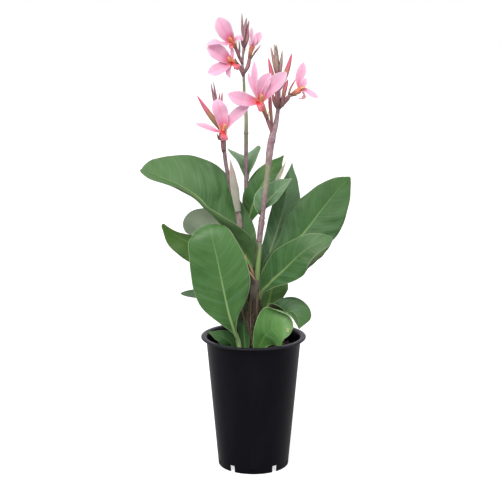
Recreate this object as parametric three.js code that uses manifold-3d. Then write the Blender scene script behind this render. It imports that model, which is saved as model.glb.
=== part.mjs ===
// A potted canna lily in flower: a tall tapered nursery pot of potting mix, and a clump of two shoots with
// sixteen broad leaves, three flower heads with their buds, and six open blooms.
// Units are millimetres. +Z is up, the origin is the middle of the pot's underside, and -Y is the clump's front.
import * as THREE from "three";
import { mergeVertices } from "three/addons/utils/BufferGeometryUtils.js";
import Module from "manifold-3d";

const wasm = await Module();
wasm.setup();

// ---------------------------------------------------------------- driving dimensions

const GAP = 0.3; // clearance between two pieces that touch
const SLACKS = [0.05, 0.04, 0.03, 0.02, 0.01]; // facets that differ by less than this are joined

const POT = {
  height: 235,
  baseRadius: 62.5,
  neckRadius: 83.5, // outside of the wall, just under the rim
  rimRadius: 92.5,
  rimThickness: 4,
  wall: 1.8,
  floorHeight: 12.5, // the floor is raised, so that the skirt's notches drain it
  footRadius: 19, // the floor dips to a foot in the middle
  sides: 44,
  notches: 5,
  notchWidth: 9.5,
  notchHeight: 12,
  slotWidth: 9,
  slotLow: 4,
  slotHigh: 9.5,
  slotDepth: 0.7,
};

const SOIL = { height: 212, rings: 5, sectors: 22, relief: 2.2 };

const BLADE = { thickness: 0.9, columns: [-1, -0.62, -0.25, 0, 0.25, 0.62, 1], rows: 10 };
const ROLL = 0.5; // the share of the half width from which a margin rolls over
const ROLLED = { ...BLADE, columns: [-1, -0.83, -0.67, -ROLL, -0.25, 0, 0.25, ROLL, 0.67, 0.83, 1] };
const PETAL = { thickness: 0.8, columns: [-1, -0.4, 0.4, 1], rows: 5 };

const COLOURS = {
  pot: [0x1b1b20, 0.45],
  soil: [0x2a1d16, 0.95],
  leaf: [0x4a7d3c, 0.5],
  stalk: [0x93707a, 0.55],
  head: [0x9c6b78, 0.6],
  dry: [0x55432f, 0.9],
  petal: [0xf19cc0, 0.5],
  throat: [0xf0664a, 0.5],
};

// ---------------------------------------------------------------- solids

/** A closed BufferGeometry as a manifold solid. */
function solidOf(geometry) {
  const bare = geometry.index ? geometry.toNonIndexed() : geometry.clone();
  bare.deleteAttribute("normal");
  bare.deleteAttribute("uv");
  const merged = mergeVertices(bare, 1e-3);
  return new wasm.Manifold(
    new wasm.Mesh({
      numProp: 3,
      vertProperties: new Float32Array(merged.attributes.position.array),
      triVerts: new Uint32Array(merged.index.array),
    }),
  );
}

/** A manifold solid as a BufferGeometry with flat faces. */
function geometryOf(solid) {
  const mesh = solid.getMesh();
  const position = new Float32Array(mesh.numVert * 3);
  for (let i = 0; i < mesh.numVert; i++) {
    position.set(mesh.vertProperties.subarray(i * mesh.numProp, i * mesh.numProp + 3), i * 3);
  }
  const geometry = new THREE.BufferGeometry();
  geometry.setAttribute("position", new THREE.BufferAttribute(position, 3));
  geometry.setIndex(new THREE.BufferAttribute(mesh.triVerts.slice(), 1));
  geometry.computeVertexNormals();
  return geometry;
}

/** All the solids joined into one. */
const fuse = (solids) => solids.reduce((whole, next) => whole.add(next));

/** The largest body of a solid once the cutters are taken out of it. */
function cut(solid, ...cutters) {
  const left = cutters.reduce((rest, cutter) => rest.subtract(cutter), solid).decompose();
  return left.reduce((best, body) => (body.volume() > best.volume() ? body : best));
}

/** Whether every edge has just two facets, once points that are almost in one place count as one. */
function isSound(solid) {
  const { numProp, vertProperties, triVerts } = solidOf(geometryOf(solid)).getMesh();
  const place = (i) =>
    vertProperties.subarray(i * numProp, i * numProp + 3).map((x) => Math.round(x * 1e4)).join();
  const uses = new Map();
  for (let i = 0; i < triVerts.length; i += 3) {
    const corners = [0, 1, 2].map((k) => place(triVerts[i + k]));
    if (new Set(corners).size < 3) continue;
    for (let k = 0; k < 3; k++) {
      const edge = [corners[k], corners[(k + 1) % 3]].sort().join(" ");
      uses.set(edge, (uses.get(edge) ?? 0) + 1);
    }
  }
  return [...uses.values()].every((count) => count === 2);
}

/** The solid with its nearly flat facets joined, by the largest slack that leaves it sound. */
function simplified(solid) {
  const choices = SLACKS.map((slack) => () => cut(solid.asOriginal().simplify(slack)));
  for (const choice of choices) {
    const joined = choice();
    if (isSound(joined)) return joined;
  }
  return solid;
}

/**
 * A closed skin through rings of equally many points. A ring's points run round it; from flip on, quads are
 * split the other way, so that the two faces of a thin blade are split alike.
 */
function loft(rings, flip = Infinity) {
  const n = rings[0].length;
  const points = rings.flat();
  const faces = [];
  for (let i = 0; i + 1 < rings.length; i++) {
    for (let j = 0; j < n; j++) {
      const a = i * n + j;
      const b = i * n + ((j + 1) % n);
      const [c, d] = [a + n, b + n];
      if (j < flip) faces.push(a, b, d, a, d, c);
      else faces.push(a, b, c, b, d, c);
    }
  }
  for (const [start, turn] of [[0, -1], [(rings.length - 1) * n, 1]]) {
    const ring = points.slice(start, start + n);
    const centre = ring.reduce((sum, p) => sum.add(p), new THREE.Vector3()).divideScalar(n);
    points.push(centre);
    for (let j = 0; j < n; j++) {
      const [a, b] = [start + j, start + ((j + 1) % n)];
      faces.push(points.length - 1, ...(turn > 0 ? [a, b] : [b, a]));
    }
  }
  const geometry = new THREE.BufferGeometry().setFromPoints(points);
  geometry.setIndex(faces);
  const solid = solidOf(geometry);
  if (solid.volume() > 0) return solid;
  for (let i = 0; i < faces.length; i += 3) [faces[i], faces[i + 1]] = [faces[i + 1], faces[i]];
  geometry.setIndex(faces);
  return solidOf(geometry);
}

const vector = (p) => new THREE.Vector3(...p);
const curveOf = (points) => new THREE.CatmullRomCurve3(points.map(vector), false, "centripetal");

/** The value at t, from 0 to 1, of a smooth line through equally spaced values, or of a single one. */
function along(values, t) {
  if (!Array.isArray(values)) return values;
  const last = values.length - 1;
  const at = THREE.MathUtils.clamp(t, 0, 1) * last;
  const i = Math.min(Math.floor(at), last - 1);
  const [a, b, c, d] = [i - 1, i, i + 1, i + 2].map((k) => values[THREE.MathUtils.clamp(k, 0, last)]);
  const f = at - i;
  return b + 0.5 * f * (c - a + f * (2 * a - 5 * b + 4 * c - d + f * (3 * (b - c) + d - a)));
}

/** A tube of the given radii, equally spaced along a curve through the points. grow makes room round it. */
function tube(points, radii, { sides = 8, steps = 8, grow = 0 } = {}) {
  const curve = curveOf(points);
  const frames = curve.computeFrenetFrames(steps, false);
  const rings = [];
  for (let i = 0; i <= steps; i++) {
    const centre = curve.getPointAt(i / steps);
    const beyond = i === 0 ? -grow : i === steps ? grow : 0;
    centre.addScaledVector(curve.getTangentAt(i / steps), beyond);
    const radius = along(radii, i / steps) + grow;
    rings.push(
      Array.from({ length: sides }, (_, j) => {
        const turn = (2 * Math.PI * j) / sides;
        return centre
          .clone()
          .addScaledVector(frames.normals[i], radius * Math.cos(turn))
          .addScaledVector(frames.binormals[i], radius * Math.sin(turn));
      }),
    );
  }
  return loft(rings);
}

/** A bud or ovary: a spindle from foot to tip, fattest at the share `belly` of its length. */
function spindle(points, radius, { belly = 0.42, foot = 0.5, tip = 0.25, sides = 5, steps = 5 } = {}) {
  const radii = Array.from({ length: 11 }, (_, i) => {
    const t = i / 10;
    const swell = t < belly ? THREE.MathUtils.lerp(foot, 1, Math.sin((t / belly) * (Math.PI / 2)))
      : THREE.MathUtils.lerp(tip, 1, Math.cos(((t - belly) / (1 - belly)) * (Math.PI / 2)));
    return radius * swell;
  });
  return tube(points, radii, { sides, steps });
}

/** How far an arc goes sideways and up: it starts at an angle, and turns evenly by bend over a length of 1. */
function arc(angle, bend, length) {
  const turn = bend + 1e-4;
  return [
    (Math.sin(angle + turn * length) - Math.sin(angle)) / turn,
    (Math.cos(angle) - Math.cos(angle + turn * length)) / turn,
  ];
}

/**
 * A leaf or petal. rib is its midline from base to tip, and face is the way its upper side looks, in one or
 * more places along it. left and right are half widths from the end of the petiole to the tip, seen with the
 * base down and the upper side towards you; round is the share of the length over which the tip closes in a
 * curve. petiole is the share of the rib below the blade, with the radius stem. Each half leaves the rib at the
 * angle fold and bends on by curl, in degrees towards the upper side; roll turns its outer part further over.
 * wave lifts the margins: height, count and phase. grow makes room round the leaf.
 */
function blade(spec, { thickness, columns, rows }, grow = 0) {
  const { rib, face, left, right = left, round = 0.12, petiole = 0, stem = 0, wave = [0, 1, 0] } = spec;
  const { foldLeft = 0, foldRight = foldLeft, curlLeft = 0, curlRight = curlLeft } = spec;
  const { rollLeft = 0, rollRight = 0 } = spec;
  const curve = curveOf(rib);
  const faces = Array.isArray(face[0]) ? face : [face, face];
  const share = (t) => THREE.MathUtils.clamp((t - petiole) / (1 - petiole), 0, 1);
  const tip = (s) => (s < 1 - round ? 1 : Math.sqrt(Math.max(1 - ((s - 1 + round) / round) ** 2, 0)));
  const point = (t, v) => {
    const centre = curve.getPointAt(t);
    const tangent = curve.getTangentAt(t);
    const up = new THREE.Vector3(...[0, 1, 2].map((k) => along(faces.map((f) => f[k]), t)));
    const side = tangent.clone().cross(up).normalize();
    const normal = side.clone().cross(tangent);
    const s = share(t);
    const sideSpec = v < 0 ? [left, foldLeft, curlLeft, rollLeft] : [right, foldRight, curlRight, rollRight];
    const [half, ...turns] = sideSpec;
    const width = Math.max(along(half, s) * tip(s), stem * 0.8 * (1 - s), 0.6) + grow;
    const [rise, bend, roll] = turns.map((values) => THREE.MathUtils.degToRad(along(values, s)));
    const reach = Math.abs(v);
    const inner = arc(rise, bend, Math.min(reach, ROLL));
    const outer = arc(rise + bend * ROLL, bend + roll / (1 - ROLL), Math.max(reach - ROLL, 0));
    const [out, lift] = [inner[0] + outer[0], inner[1] + outer[1]];
    const ripple = wave[0] * Math.sin(2 * Math.PI * (wave[1] * s + wave[2] + (v < 0 ? 0.37 : 0)));
    return centre
      .addScaledVector(side, Math.sign(v) * out * width)
      .addScaledVector(normal, lift * width + ripple * reach ** 2 * Math.sin(Math.PI * s));
  };
  const [first, last] = [grow ? 0 : 0.012, 0.985];
  const rings = [];
  for (let i = 0; i <= rows; i++) {
    const t = first + (last - first) * (1 - (1 - i / rows) ** 1.3);
    const [top, under] = [[], []];
    for (const v of columns) {
      const [dt, dv] = [0.004, 0.02];
      const alongRib = point(Math.min(t + dt, 1), v).sub(point(Math.max(t - dt, 0), v));
      const across = point(t, Math.min(v + dv, 1)).sub(point(t, Math.max(v - dv, -1)));
      const normal = across.cross(alongRib).normalize();
      const middle = point(t, v);
      const bulge = v === 0 ? stem * (1 - share(t)) * 1.1 : 0;
      top.push(middle.clone().addScaledVector(normal, thickness / 2 + grow));
      under.unshift(middle.addScaledVector(normal, -thickness / 2 - bulge - grow));
    }
    rings.push([...top, ...under]);
  }
  return loft(rings, columns.length);
}

const leaf = (spec, grow) =>
  blade(spec, { ...(spec.rollLeft || spec.rollRight ? ROLLED : BLADE), rows: spec.rows ?? BLADE.rows }, grow);
const petal = (spec, grow) => blade(spec, { ...PETAL, rows: spec.rows ?? PETAL.rows }, grow);

// ---------------------------------------------------------------- pot and potting mix

/** A box at the pot's skirt, at the angle turn: from low to high, and inwards as far as the radius reach. */
function skirtBox(turn, width, low, high, reach) {
  const depth = 20;
  return solidOf(
    new THREE.BoxGeometry(width, depth, high - low)
      .translate(0, -reach - depth / 2, (low + high) / 2)
      .rotateZ(turn),
  );
}

function pot() {
  const { height, baseRadius, neckRadius, rimRadius, rimThickness, wall, floorHeight, footRadius } = POT;
  const neck = height - rimThickness;
  const wallRadius = (z) => THREE.MathUtils.lerp(baseRadius, neckRadius, z / neck);
  const profile = [
    [0, 0],
    [footRadius, 0],
    [footRadius + 2, floorHeight],
    [wallRadius(floorHeight) - wall, floorHeight],
    [baseRadius - wall, 0],
    [baseRadius, 0],
    [neckRadius, neck],
    [rimRadius - 1.4, neck],
    [rimRadius, neck + 1.8],
    [rimRadius - 1.4, height],
    [neckRadius + 0.6, height],
    [neckRadius - wall, height - 2],
    [wallRadius(floorHeight + wall) - wall, floorHeight + wall],
    [footRadius + 2 + wall, floorHeight + wall],
    [footRadius + wall, wall],
    [0, wall],
  ].map(([r, z]) => new THREE.Vector2(r, z));
  const turned = new THREE.LatheGeometry(profile, POT.sides).rotateX(Math.PI / 2);
  const cutters = [];
  for (let i = 0; i < POT.notches; i++) {
    const turn = (2 * Math.PI * i) / POT.notches;
    cutters.push(skirtBox(turn, POT.slotWidth, POT.slotLow, POT.slotHigh, baseRadius - POT.slotDepth));
    cutters.push(skirtBox(turn + Math.PI / POT.notches, POT.notchWidth, -1, POT.notchHeight, baseRadius - 8));
  }
  return cut(solidOf(turned), ...cutters);
}

/** The mix that fills the pot, with a crumbly top and plain holes for the stalks. */
function pottingMix(holes) {
  const { height, floorHeight, baseRadius, neckRadius, footRadius, wall, rimThickness } = {
    ...POT,
    height: POT.height - POT.rimThickness,
  };
  const inner = (z) => THREE.MathUtils.lerp(baseRadius, neckRadius, z / height) - wall - 2 * GAP;
  const low = floorHeight + wall + GAP;
  const crumb = (r, turn) => SOIL.height + SOIL.relief * (
    0.6 * Math.sin(0.19 * r + 3 * turn) + 0.5 * Math.sin(0.31 * r * Math.cos(turn) + 1.3)
    + 0.5 * Math.sin(0.27 * r * Math.sin(turn) + 5 * turn) - (r / 80) ** 4);
  const levels = [
    [footRadius, wall + GAP],
    [footRadius + 2, low],
    [inner(low), low],
  ];
  const ring = (radius, level) =>
    Array.from({ length: SOIL.sectors }, (_, j) => {
      const turn = (2 * Math.PI * j) / SOIL.sectors;
      return new THREE.Vector3(radius * Math.cos(turn), radius * Math.sin(turn), level(radius, turn));
    });
  const rings = levels.map(([radius, z]) => ring(radius, () => z));
  for (let i = SOIL.rings; i > 0; i--) rings.push(ring((inner(SOIL.height - 8) * i) / SOIL.rings, crumb));
  return cut(loft(rings), ...holes);
}

// ---------------------------------------------------------------- stalks

const STALKS = {
  main: { path: [[-4, 2, 190], [-2, 1, 250], [1, 0, 290], [4, -2, 337]], radii: [12, 10.5, 9, 7.5] },
  left: {
    path: [[2, -2, 325], [-6, -6, 355], [-14, -10, 381], [-22, -13, 408], [-24, -14, 432], [-29, -14, 469],
      [-38, -14, 497], [-47, -14, 538], [-50, -14, 562]],
    radii: [5.5, 5, 4.8, 4.6, 4.4, 3.9, 3.4, 3.4],
  },
  right: {
    path: [[5, -2, 325], [8, -6, 368], [10, -8, 389], [11, -10, 416], [16, -12, 455], [20, -12, 493],
      [23, -12, 519], [29, -12, 572], [32, -12, 587]],
    radii: [5.5, 4.6, 4.1, 4.3, 4.2, 4.9, 4.5, 6, 6.2],
  },
  rear: {
    path: [[-6, 26, 190], [-8, 30, 294], [-11, 33, 383], [-13, 33, 455], [-13, 32, 516], [-13, 31, 562],
      [-13, 30, 622], [-16, 29, 655]],
    radii: [8.5, 6.5, 5, 4, 3.7, 3.6, 3.5, 2.8],
  },
};

const stalk = (name, grow = 0) =>
  tube(STALKS[name].path, STALKS[name].radii, { sides: 8, steps: name === "main" ? 4 : 11, grow });

/** The ring where a leaf joined a stalk, at a point on it, and the way the stalk leans there. */
function joint({ at, radius, lean }, grow = 0) {
  const end = (sign) => [at[0] + sign * 2.2 * lean, at[1], at[2] + sign * 2.2];
  return tube([end(-1), end(1)], [radius * 0.8, radius, radius * 0.8], { sides: 8, steps: 2, grow });
}

const JOINTS = [
  { at: [-29, -14, 469], radius: 5.3, lean: -0.15 },
  { at: [14.5, -11.6, 446], radius: 5.8, lean: 0.12 },
  { at: [26, -12, 541], radius: 5.5, lean: 0.1 },
];
const REAR_JOINT = { at: [-13, 30.8, 588], radius: 4.6, lean: 0 };

const front = (grow) => fuse([
  ...["main", "left", "right"].map((name) => stalk(name, grow)),
  ...JOINTS.map((spec) => joint(spec, grow)),
]);
const rear = (grow) => fuse([stalk("rear", grow), joint(REAR_JOINT, grow)]);
const stalkSpace = fuse([front(GAP), rear(GAP)]);

// ---------------------------------------------------------------- leaves

const LEAVES = {
  leaf_left_large: {
    rib: [[-4, -6, 357], [-13, -13, 378], [-23, -19, 396], [-35, -23, 416], [-47, -25, 432], [-63, -26, 449],
      [-78, -25, 465], [-91, -24, 481], [-125, -19, 503], [-155, -12, 515], [-176, -5, 523], [-193, 0, 530]],
    face: [[0.95, 0, 0.3], [0.8, -0.2, 0.5], [0.5, -0.45, 0.7], [0.32, -0.59, 0.73], [0.3, -0.6, 0.73],
      [0.2, -0.6, 0.75]],
    left: [6, 20, 31, 32, 29, 29, 30, 30, 29, 25, 12], right: [7, 22, 38, 49, 57, 63, 67, 67, 62, 48, 22],
    foldLeft: [70, 62, 52, 38, 30, 30, 28, 26, 20], foldRight: [70, 60, 48, 36, 30, 26, 20, 14, 10],
    curlLeft: [60, 50, 30, 10, -10, -15, -15, -10, 0], curlRight: [60, 40, 10, -5, -10, -10, -10, -6, 0],
    rollLeft: [0, 0, 0, 10, 60, 90, 100, 80, 30, 0, 0], stem: 4, wave: [2, 2, 0.1], round: 0.03, rows: 14,
  },
  leaf_front_upright: {
    rib: [[-24, -16, 202], [-27, -22, 230], [-34, -31, 252], [-42, -40, 281], [-52, -53, 332], [-57, -58, 359],
      [-62, -62, 386], [-67, -62, 408], [-72, -58, 427], [-76, -50, 437], [-78, -38, 440]],
    face: [[-0.2, -1, 0.2], [-0.1, -1, 0.1], [-0.05, -1, 0.1], [-0.05, -1, 0.2], [-0.1, -0.7, 0.8]],
    left: [3, 20, 42, 50, 50, 47, 42, 32], right: [3, 13, 33, 47, 49, 43, 34, 24],
    foldLeft: [30, 10, 8, 6, 0], curlLeft: [0, -8, -14, -20, -20], petiole: 0.17, stem: 3, wave: [1.5, 2, 0.3],
    round: 0.16, rows: 13,
  },
  leaf_right_upper: {
    rib: [[9, 2, 330], [25, 8, 362], [41, 14, 376], [64, 19, 391], [83, 23, 408], [99, 26, 427], [116, 28, 450],
      [137, 28, 477], [152, 26, 496], [168, 22, 513]],
    face: [[0, -0.9, 0.5], [-0.1, -0.95, 0.35]],
    left: [3, 9, 15, 26, 38, 44, 44, 38, 32, 20, 4], right: [3, 10, 24, 36, 44, 48, 50, 46, 36, 24, 6],
    foldLeft: [30, 14, 10, 8, 4], curlLeft: [0, -8, -12, -6], petiole: 0.06, stem: 4, wave: [2, 1.5, 0.2],
    round: 0.05, rows: 12,
  },
  leaf_right_lower: {
    rib: [[9, -4, 300], [15, -10, 317], [25, -18, 329], [33, -26, 340], [52, -36, 360], [65, -43, 375],
      [79, -49, 390], [95, -52, 403], [116, -52, 413], [134, -50, 418]],
    face: [[0, -0.8, 0.6], [0.1, -0.8, 0.6]],
    left: [3, 18, 24, 31, 36, 35, 31, 27, 22, 14, 4], right: [3, 9, 14, 22, 28, 35, 41, 44, 42, 30, 10],
    foldLeft: [30, 14, 8, 6, 4], foldRight: [30, 16, 8, 0, -10, -10], curlLeft: [0, -8, -12, -6],
    curlRight: [0, 0, 0, 0, 10, 20, 10], rollRight: [0, 0, 0, 10, 60, 150, 175, 120], petiole: 0.08, stem: 4,
    wave: [1.5, 1.5, 0.5], round: 0.08, rows: 13,
  },
  leaf_centre_back: {
    rib: [[-10, 31, 404], [-10, 26, 424], [-6, 24, 447], [2, 26, 472], [14, 31, 497], [31, 37, 523],
      [53, 43, 548]],
    face: [[-0.2, -1, 0.2], [-0.1, -1, 0.2]],
    left: [3, 14, 22, 24, 21, 12, 1], right: [3, 14, 24, 28, 26, 15, 1],
    foldLeft: [30, 14, 8, 6], curlLeft: [0, -6, -10, -4], petiole: 0.14, stem: 3.2, wave: [1.2, 1.5, 0.4],
    round: 0.02,
  },
  leaf_on_right_stalk: {
    rib: [[14, -6, 450], [16, -2, 462], [23, 3, 472], [34, 8, 483], [48, 12, 496], [66, 15, 511]],
    face: [[-0.2, -1, 0.5], [-0.1, -1, 0.4]],
    left: [8, 22, 25, 20, 13, 1], right: [4, 11, 13, 11, 7, 1],
    foldLeft: [40, 16, 8, 10], curlLeft: [30, -4, -8, 0], stem: 3, wave: [1.2, 1.5, 0], round: 0.02, rows: 8,
  },
  leaf_right_back: {
    rib: [[9, 14, 320], [22, 26, 354], [32, 36, 384], [42, 42, 414], [52, 47, 449], [61, 50, 491],
      [68, 51, 534]],
    face: [[0.1, -1, 0.1], [0.2, -1, 0.1]],
    left: [3, 16, 19, 22, 21, 12, 1], right: [3, 12, 20, 32, 39, 22, 1],
    foldLeft: [-10, -16, -20, -10], foldRight: [-20, -30, -30, -20], curlLeft: [0, -6, -10, 0], petiole: 0.06,
    stem: 4, wave: [1.2, 1.5, 0.3], round: 0.02,
  },
  leaf_on_rear_stalk: {
    rib: [[-12, 32, 508], [-10, 40, 522], [-11, 60, 533], [-13, 88, 540], [-16, 112, 540]],
    face: [[0, -0.3, 1], [-0.05, 0.05, 1]],
    left: [6, 24, 36, 40, 22, 2], right: [6, 24, 34, 34, 24, 6],
    foldLeft: [50, 38, 30, 26], foldRight: [60, 50, 44, 36], petiole: 0.02, stem: 3, wave: [1, 1.5, 0],
    round: 0.05, rows: 8,
  },
  leaf_left_back: {
    rib: [[-13, 37, 330], [-22, 42, 366], [-40, 50, 394], [-66, 60, 414], [-88, 70, 423], [-107, 77, 418],
      [-118, 80, 402]],
    face: [[-0.2, 0.7, 0.7], [-0.2, 0.9, 0.3], [-0.3, 0.9, 0.1]],
    left: [3, 14, 22, 29, 30, 20], right: [3, 14, 24, 32, 34, 24],
    foldLeft: [20, 8, 0, 0], curlLeft: [0, -10, -14, -14], petiole: 0.1, stem: 3.5, wave: [1, 1.5, 0.2],
    round: 0.2,
  },
  leaf_left_bright: {
    rib: [[-12, 22, 262], [-18, 24, 304], [-44, 34, 343], [-81, 44, 372], [-115, 50, 391], [-140, 54, 405],
      [-162, 56, 425]],
    face: [[-0.2, -0.9, 0.5], [0, -0.9, 0.45]],
    left: [3, 12, 22, 29, 30, 23, 5], right: [3, 14, 20, 22, 18, 8, 1],
    foldLeft: [20, 8, 6, 0], curlLeft: [0, -6, -6, 0], petiole: 0.16, stem: 3.5, wave: [1.2, 1.5, 0.6],
    round: 0.02,
  },
  leaf_left_small: {
    rib: [[-18, 10, 204], [-19, 12, 250], [-45, 24, 288], [-76, 32, 300], [-104, 36, 303], [-130, 36, 302]],
    face: [[0, 0.5, 0.7], [0, 0.85, 0.4]],
    left: [2, 9, 12, 12, 10, 5], right: [2, 9, 13, 14, 11, 6],
    foldLeft: [20, 6, 0, 0], curlLeft: [0, -10, -16, -10], petiole: 0.3, stem: 3, wave: [1, 1.5, 0.2],
    round: 0.14, rows: 9,
  },
  leaf_front_low: {
    rib: [[-34, -6, 202], [-40, -20, 226], [-53, -32, 240], [-67, -40, 247], [-78, -43, 252]],
    face: [[-0.1, -0.9, 0.5], [-0.2, -0.8, 0.7]],
    left: [4, 13, 17, 15, 9, 1], right: [3, 9, 15, 14, 8, 1],
    foldLeft: [10, 6, 0, 0], curlLeft: [0, -10, -16, -10], stem: 3, wave: [1, 1.5, 0.2], round: 0.04, rows: 7,
  },
  leaf_centre_low: {
    rib: [[-14, -14, 204], [-16, -15.5, 235], [-17, -15, 272], [-13, -12, 312]],
    face: [[0, -1, 0.05], [0.1, -1, 0.1]],
    left: [5, 9, 11, 11, 9, 1], right: [5, 9, 10, 10, 8, 1],
    foldLeft: [8, 0, 0, 0], stem: 2, wave: [0.6, 1, 0.2], round: 0.04, rows: 8,
  },
  leaf_right_front: {
    rib: [[6, -18, 202], [12, -28, 227], [22, -38, 247], [36, -48, 260], [51, -56, 265], [67, -61, 262]],
    face: [[-0.4, -0.9, 0.2], [-0.3, -0.9, 0.35], [-0.1, -0.9, 0.45], [0.2, -0.9, 0.4]],
    left: [8, 16, 25, 40, 37, 26], right: [4, 12, 22, 31, 33, 25],
    foldLeft: [16, 8, 4, 0], curlLeft: [0, -6, -12, -20], curlRight: [0, -6, -10, -16],
    rollLeft: [0, 0, 0, 30, 150, 170], petiole: 0.06, stem: 3.5, wave: [1.5, 2, 0.1], round: 0.24,
  },
  leaf_right_small: {
    rib: [[12, 8, 262], [22, 13, 276], [29, 15, 300], [35, 17, 323], [44, 21, 342], [54, 27, 356]],
    face: [[0, -1, 0.2], [0.2, -1, 0.3]],
    left: [8, 16, 20, 20, 13, 1], right: [3, 14, 24, 27, 18, 1],
    foldLeft: [34, 20, 10, 8], curlLeft: [0, -10, -14, -4], petiole: 0.12, stem: 3.5, wave: [1.2, 1.5, 0.4],
    round: 0.05, rows: 8,
  },
  leaf_right_folded: {
    rib: [[12, -5, 240], [23, -8, 260], [41, -13, 275], [55, -18, 282], [67, -25, 283], [76, -33, 275],
      [79, -39, 256]],
    face: [[-0.1, -0.2, 1], [0.2, -0.2, 1], [0.5, -0.6, 0.7], [0.5, -0.9, 0.2]],
    left: [3, 12, 20, 24, 27, 24, 2], right: [3, 13, 25, 22, 15, 9, 1],
    foldLeft: [30, 62, 66, 56, 36, 20, 10], foldRight: [20, 76, 96, 60, 20, 0, 0], curlLeft: [0, -6, -6, 0],
    petiole: 0.14, stem: 3.2, wave: [0.8, 1.5, 0], round: 0.04, rows: 12,
  },
};

// Leaves that come up through the mix.
const ROOTED = [
  "leaf_front_upright", "leaf_left_small", "leaf_front_low", "leaf_centre_low", "leaf_right_front",
];

// ---------------------------------------------------------------- flower heads

// Each head has a rachis, stalklets that carry the blooms, and buds. A bud is foot, [middle,] tip and a radius.
const HEADS = {
  left: {
    rachis: {
      path: [[-50, -14, 562], [-50, -15, 580], [-54, -12, 604], [-60, -10, 630]],
      radii: [3.4, 3.2, 2.6, 2],
    },
    stalklets: [{ path: [[-51, -15, 561], [-51.5, -19, 570], [-52, -22.5, 580]], radii: [3, 4, 4] }],
    buds: [
      { points: [[-58, -10, 618], [-67, -9, 650], [-72, -10, 676]], radius: 2.6 },
      { points: [[-60, -8, 622], [-64, -6, 652], [-68, -6, 678]], radius: 2.3 },
      { points: [[-58, -10, 618], [-59, -10, 640], [-57, -10, 660]], radius: 2.3 },
      { points: [[-57, -9, 616], [-55, -8, 638], [-53, -8, 661]], radius: 2.6 },
      { points: [[-52, -14, 594], [-66, -10, 612], [-82, -8, 634], [-95, -8, 654]], radius: 4.6 },
      { points: [[-52, -15, 586], [-58, -14, 582], [-62, -15, 592]], radius: 2 },
    ],
  },
  right: {
    rachis: {
      path: [[32, -12, 587], [38, -10, 609], [42, -8, 637], [43, -8, 660], [42, -8, 690]],
      radii: [6, 3.8, 3.3, 2.6, 2.2],
    },
    stalklets: [
      { path: [[32, -12, 592], [29, -13, 600], [26, -16, 608], [23, -19, 616]], radii: [3.4, 3.2, 3.4, 3.2] },
      { path: [[42, -8, 632], [49, -8, 641], [56, -9, 650], [61, -9, 655]], radii: [3, 3, 3.4, 3] },
      { path: [[42, -8, 632], [54, -7, 643], [62, -6, 650]], radii: [2.6, 2, 0.5] },
    ],
    buds: [
      { points: [[40, -7, 684], [34, -8, 710], [29, -8, 735]], radius: 2.7 },
      { points: [[42, -10, 682], [38, -11, 712], [35, -10, 740]], radius: 3.7 },
      { points: [[42, -6, 684], [40, -5, 714], [38, -5, 739]], radius: 3.4 },
      { points: [[43, -8, 682], [46, -8, 708], [48, -8, 729]], radius: 3.2 },
      { points: [[41, -8, 652], [34, -6, 676], [29, -6, 698], [25, -6, 717]], radius: 4.7 },
      { points: [[43, -8, 664], [51, -7, 682], [58, -7, 702], [64, -8, 725]], radius: 4.7 },
      { points: [[43, -8, 634], [50, -7, 652], [53, -6, 667], [58, -7, 682]], radius: 3.8, belly: 0.66 },
      { points: [[32, -12, 596], [30, -10, 618], [28, -9, 640], [27, -9, 662]], radius: 3.2, belly: 0.7 },
      { points: [[42, -9, 630], [35, -12, 646], [31, -12, 662]], radius: 3.4 },
      { points: [[42, -9, 634], [39, -14, 648], [38, -14, 664]], radius: 3.3 },
      { points: [[43, -9, 634], [48, -12, 644], [48, -13, 658]], radius: 2.9 },
      { points: [[58, -6, 653], [63, -4, 668], [72, -4, 684]], radius: 1.8 },
    ],
  },
  rear: {
    rachis: {
      path: [[-16, 29, 655], [-17, 29, 686], [-19, 29, 710], [-15, 29, 745]],
      radii: [2.6, 2.4, 2.2, 2.6],
    },
    stalklets: [
      { path: [[-17, 29, 686], [-23, 26, 700], [-29, 21, 708]], radii: [2.6, 3.4, 3.2] },
      { path: [[-19, 29, 706], [-25, 27, 720], [-30, 23, 733]], radii: [2.2, 3, 2.8] },
      { path: [[-17, 29, 690], [-10, 28, 702], [-7, 27, 716]], radii: [2.6, 3.6, 3] },
      { path: [[-25, 26, 718], [-24, 26, 734], [-25, 25, 746]], radii: [2, 1.6, 0.5] },
    ],
    buds: [
      { points: [[-16, 29, 738], [-19, 29, 766], [-20, 29, 791]], radius: 2.3 },
      { points: [[-16, 27, 738], [-15, 26, 764], [-12, 27, 784]], radius: 3.4 },
      { points: [[-15, 30, 738], [-12, 32, 760], [-8, 32, 779]], radius: 3 },
      { points: [[-15, 26, 734], [-10, 24, 752], [-9, 24, 768]], radius: 2.8 },
      { points: [[-15, 29, 730], [-19, 27, 744], [-19, 26, 758]], radius: 2.7 },
      { points: [[-9, 30, 708], [1, 33, 724], [12, 30, 738]], radius: 1.6 },
    ],
  },
};

function head({ rachis, stalklets, buds }) {
  return fuse([
    tube(rachis.path, rachis.radii, { sides: 7, steps: 7 }),
    ...stalklets.map(({ path, radii }) => tube(path, radii, { sides: 6, steps: 4 })),
    ...buds.map(({ points, radius, belly }) => spindle(points, radius, { belly })),
  ]);
}

// ---------------------------------------------------------------- blooms

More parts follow.
